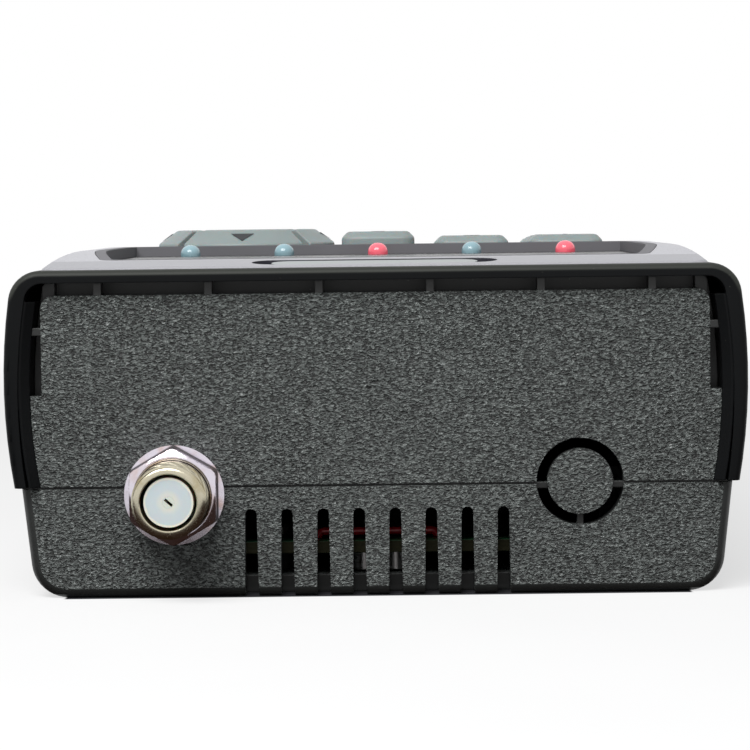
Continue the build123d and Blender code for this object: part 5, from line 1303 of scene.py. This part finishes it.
class METER_OT_side_parts(bpy.types.Operator):
    """Finish the sockets and the switch in the sides, and the case screws in the back"""

    bl_idname = "meter.side_parts"
    bl_label = "Side sockets and screws"

    def execute(self, context):
        edge = context.scene.meter_sizes.edge_round
        sheet_grain = (4 * MM, 4 * MM, 0.3 * MM)
        screw_grain = (0.5 * MM, 0.5 * MM, 0.5 * MM)
        black = satin_plastic("socket_moulding", (0.016, 0.016, 0.017), roughness=0.4)
        tin = brushed_metal("socket_sheet", (0.66, 0.65, 0.62), roughness=0.28, grain=sheet_grain)
        steel = brushed_metal("screw_steel", (0.42, 0.42, 0.41), roughness=0.34, grain=screw_grain)
        finishes = {
            "supply_jack": black,
            "sound_jack": black,
            "switch_knob": black,
            "data_socket": tin,
            "switch_body": tin,
            "case_screws": steel,
        }
        for node, finish in finishes.items():
            dressed_copy(node, finish, edge)
        return {"FINISHED"}


def floor_white(shade_share, reach):
    """White to rays that see it straight, in a gloss or through glass, and a plain matt grey to the rest.
    Near the meter a share of the white is matt paint, which keeps the meter's shadow. Right under the
    meter, and a little before its near end, all of it is matt paint, painted dark as a shadow."""
    finish = Finish("floor_white")
    seen = finish.ray("Camera", "Glossy", "Transmission")
    place = finish.place()
    grain = finish.noise(place, 30 * MM, detail=1.0)
    across, along, _ = finish.parts(place)
    distance = (across ** 2 + along ** 2).math("SQRT")
    low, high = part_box("rear_shell")
    beside = abs(across) - (high.x - UNDER_SIDE_INSET)
    before = (low.y - UNDER_NEAR_OUTSET) - along
    beyond = along - (high.y - UNDER_FAR_INSET)
    outside = beside.math("MAXIMUM", before).math("MAXIMUM", beyond)
    under = finish.step(outside, 0.3 * MM, -0.3 * MM)
    share = under.math("MAXIMUM", finish.step(distance, reach, reach / 3) * shade_share)
    paint = finish.blend(grain, (0.95, 0.95, 0.95), (1.0, 1.0, 1.0))
    # Under the meter the paint is near black: a painted shadow.
    paint = finish.blend(under, paint, (0.04, 0.04, 0.045))
    finish.shade(
        base_color=finish.blend(seen, (0.42, 0.42, 0.42), paint),
        roughness=0.8,
        specular_ior_level=0.0,
    )
    glow = finish.node("ShaderNodeEmission", values={"Color": (1.0, 1.0, 1.0), "Strength": 1.0})
    return finish.cover(seen * (1 - share), Wire(finish, finish.shader.outputs[0]), glow)


def dark_cloth(colour):
    """The dark cloth on the floor before the meter. Only the gloss of the near end shows it."""
    finish = Finish("dark_cloth")
    weave = finish.noise(finish.place(), 80 * MM)
    lighter = scaled(colour, 1.6)
    return finish.shade(
        base_color=finish.blend(weave, colour, lighter),
        roughness=0.9,
        specular_ior_level=0.0,
        alpha=finish.ray("Glossy"),
    )


def white_world(level):
    """A plain world: white where it is seen straight, in a gloss or through glass, and a plain fill
    light otherwise."""
    finish = Finish("plain_world", world=True)
    finish.shade(color=(0.95, 0.97, 1.0), strength=level)
    white = finish.node("ShaderNodeBackground", values={"Color": (1.0, 1.0, 1.0), "Strength": 1.0})
    seen = finish.ray("Camera", "Glossy", "Transmission")
    bpy.context.scene.world = finish.cover(seen, Wire(finish, finish.shader.outputs[0]), white)


def soft_lamp(name, place, aim, size, power):
    """A rectangular white area lamp that looks at a point."""
    lamp = bpy.data.lights.new(name, "AREA")
    lamp.shape = "RECTANGLE"
    lamp.size = size[0]
    lamp.size_y = size[1]
    lamp.energy = power
    holder = bpy.data.objects.new(name, lamp)
    holder.location = place
    holder.rotation_euler = (Vector(aim) - Vector(place)).to_track_quat("-Z", "Y").to_euler()
    bpy.context.scene.collection.objects.link(holder)


class METER_OT_stage(bpy.types.Operator):
    """Set the floor, the dark cloth, the lamp, the world and the camera"""

    bl_idname = "meter.stage"
    bl_label = "Stage"

    def execute(self, context):
        stage = context.scene.meter_stage
        half = stage.floor_size / 2
        corners = np.array([
            [(-half, -half, 0.0), (half, -half, 0.0)],
            [(-half, half, 0.0), (half, half, 0.0)],
        ])
        floor = add_object("floor", surface_mesh("floor", corners, close_columns=False))
        floor.data.materials.append(floor_white(SHADE_SHARE, SHADE_REACH))
        near = CAD_BOX[0][1]
        sides = (stage.cloth_half, -stage.cloth_half)
        edges = (near + CLOTH_UNDER, near - CLOTH_REACH)
        cloth_corners = np.array([[(side, edge, CLOTH_LIFT) for side in sides] for edge in edges])
        cloth = add_object("dark_cloth", surface_mesh("dark_cloth", cloth_corners, close_columns=False))
        cloth.data.materials.append(dark_cloth((0.035, 0.022, 0.018)))
        white_world(stage.fill_level)
        place = (-LAMP_LEFT, near - LAMP_BEFORE, LAMP_UP)
        aim = (0.0, near, LAMP_AIM_UP)
        soft_lamp("top_lamp", place, aim, LAMP_SIZE, stage.lamp_power)
        self.set_camera(context, stage)
        context.scene.view_settings.view_transform = "Standard"
        return {"FINISHED"}

    def set_camera(self, context, stage):
        """Stands the camera before the near end: yaw, then pitch, then roll about its own axis."""
        lens = bpy.data.cameras.new("camera")
        lens.sensor_width = 36.0
        lens.lens = stage.lens
        lens.clip_start = 0.01
        lens.clip_end = 50.0
        camera = bpy.data.objects.new("camera", lens)
        near_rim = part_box("hood")[0].y
        turn = Matrix.Rotation(stage.yaw, 4, "Z")
        turn = turn @ Matrix.Rotation(pi / 2 - stage.pitch, 4, "X")
        turn = turn @ Matrix.Rotation(-stage.roll, 4, "Z")
        place = Vector((stage.eye_right, near_rim - stage.eye_distance, stage.eye_height))
        camera.matrix_world = Matrix.Translation(place) @ turn
        context.scene.collection.objects.link(camera)
        context.scene.camera = camera


STEPS = (
    METER_OT_shells,
    METER_OT_hood,
    METER_OT_face,
    METER_OT_window,
    METER_OT_lamps,
    METER_OT_keys,
    METER_OT_key_marks,
    METER_OT_socket,
    METER_OT_boards,
    METER_OT_side_parts,
    METER_OT_stage,
)


class METER_PT_sidebar(bpy.types.Panel):
    """Lists the steps and the sizes and colours of the meter"""

    bl_idname = "METER_PT_sidebar"
    bl_label = "Satellite signal meter"
    bl_space_type = "VIEW_3D"
    bl_region_type = "UI"
    bl_category = "Meter"

    def draw(self, context):
        scene = context.scene
        for step in STEPS:
            self.layout.operator(step.bl_idname)
        for group in (scene.meter_sizes, scene.meter_colours, scene.meter_stage):
            box = self.layout.box()
            for name in group.__annotations__:
                box.prop(group, name)


CLASSES = (MeterSizes, MeterColours, MeterStage, *STEPS, METER_PT_sidebar)


def register():
    """Registers the classes and hangs their settings on the scene."""
    for one in CLASSES:
        bpy.utils.register_class(one)
    bpy.types.Scene.meter_sizes = PointerProperty(type=MeterSizes)
    bpy.types.Scene.meter_colours = PointerProperty(type=MeterColours)
    bpy.types.Scene.meter_stage = PointerProperty(type=MeterStage)


def unregister():
    """Takes the settings and the classes away again."""
    del bpy.types.Scene.meter_stage
    del bpy.types.Scene.meter_colours
    del bpy.types.Scene.meter_sizes
    for one in reversed(CLASSES):
        bpy.utils.unregister_class(one)


def main():
    """Runs every step."""
    register()
    for step in STEPS:
        group, name = step.bl_idname.split(".")
        getattr(getattr(bpy.ops, group), name)()


if __name__ == "__main__":
    main()
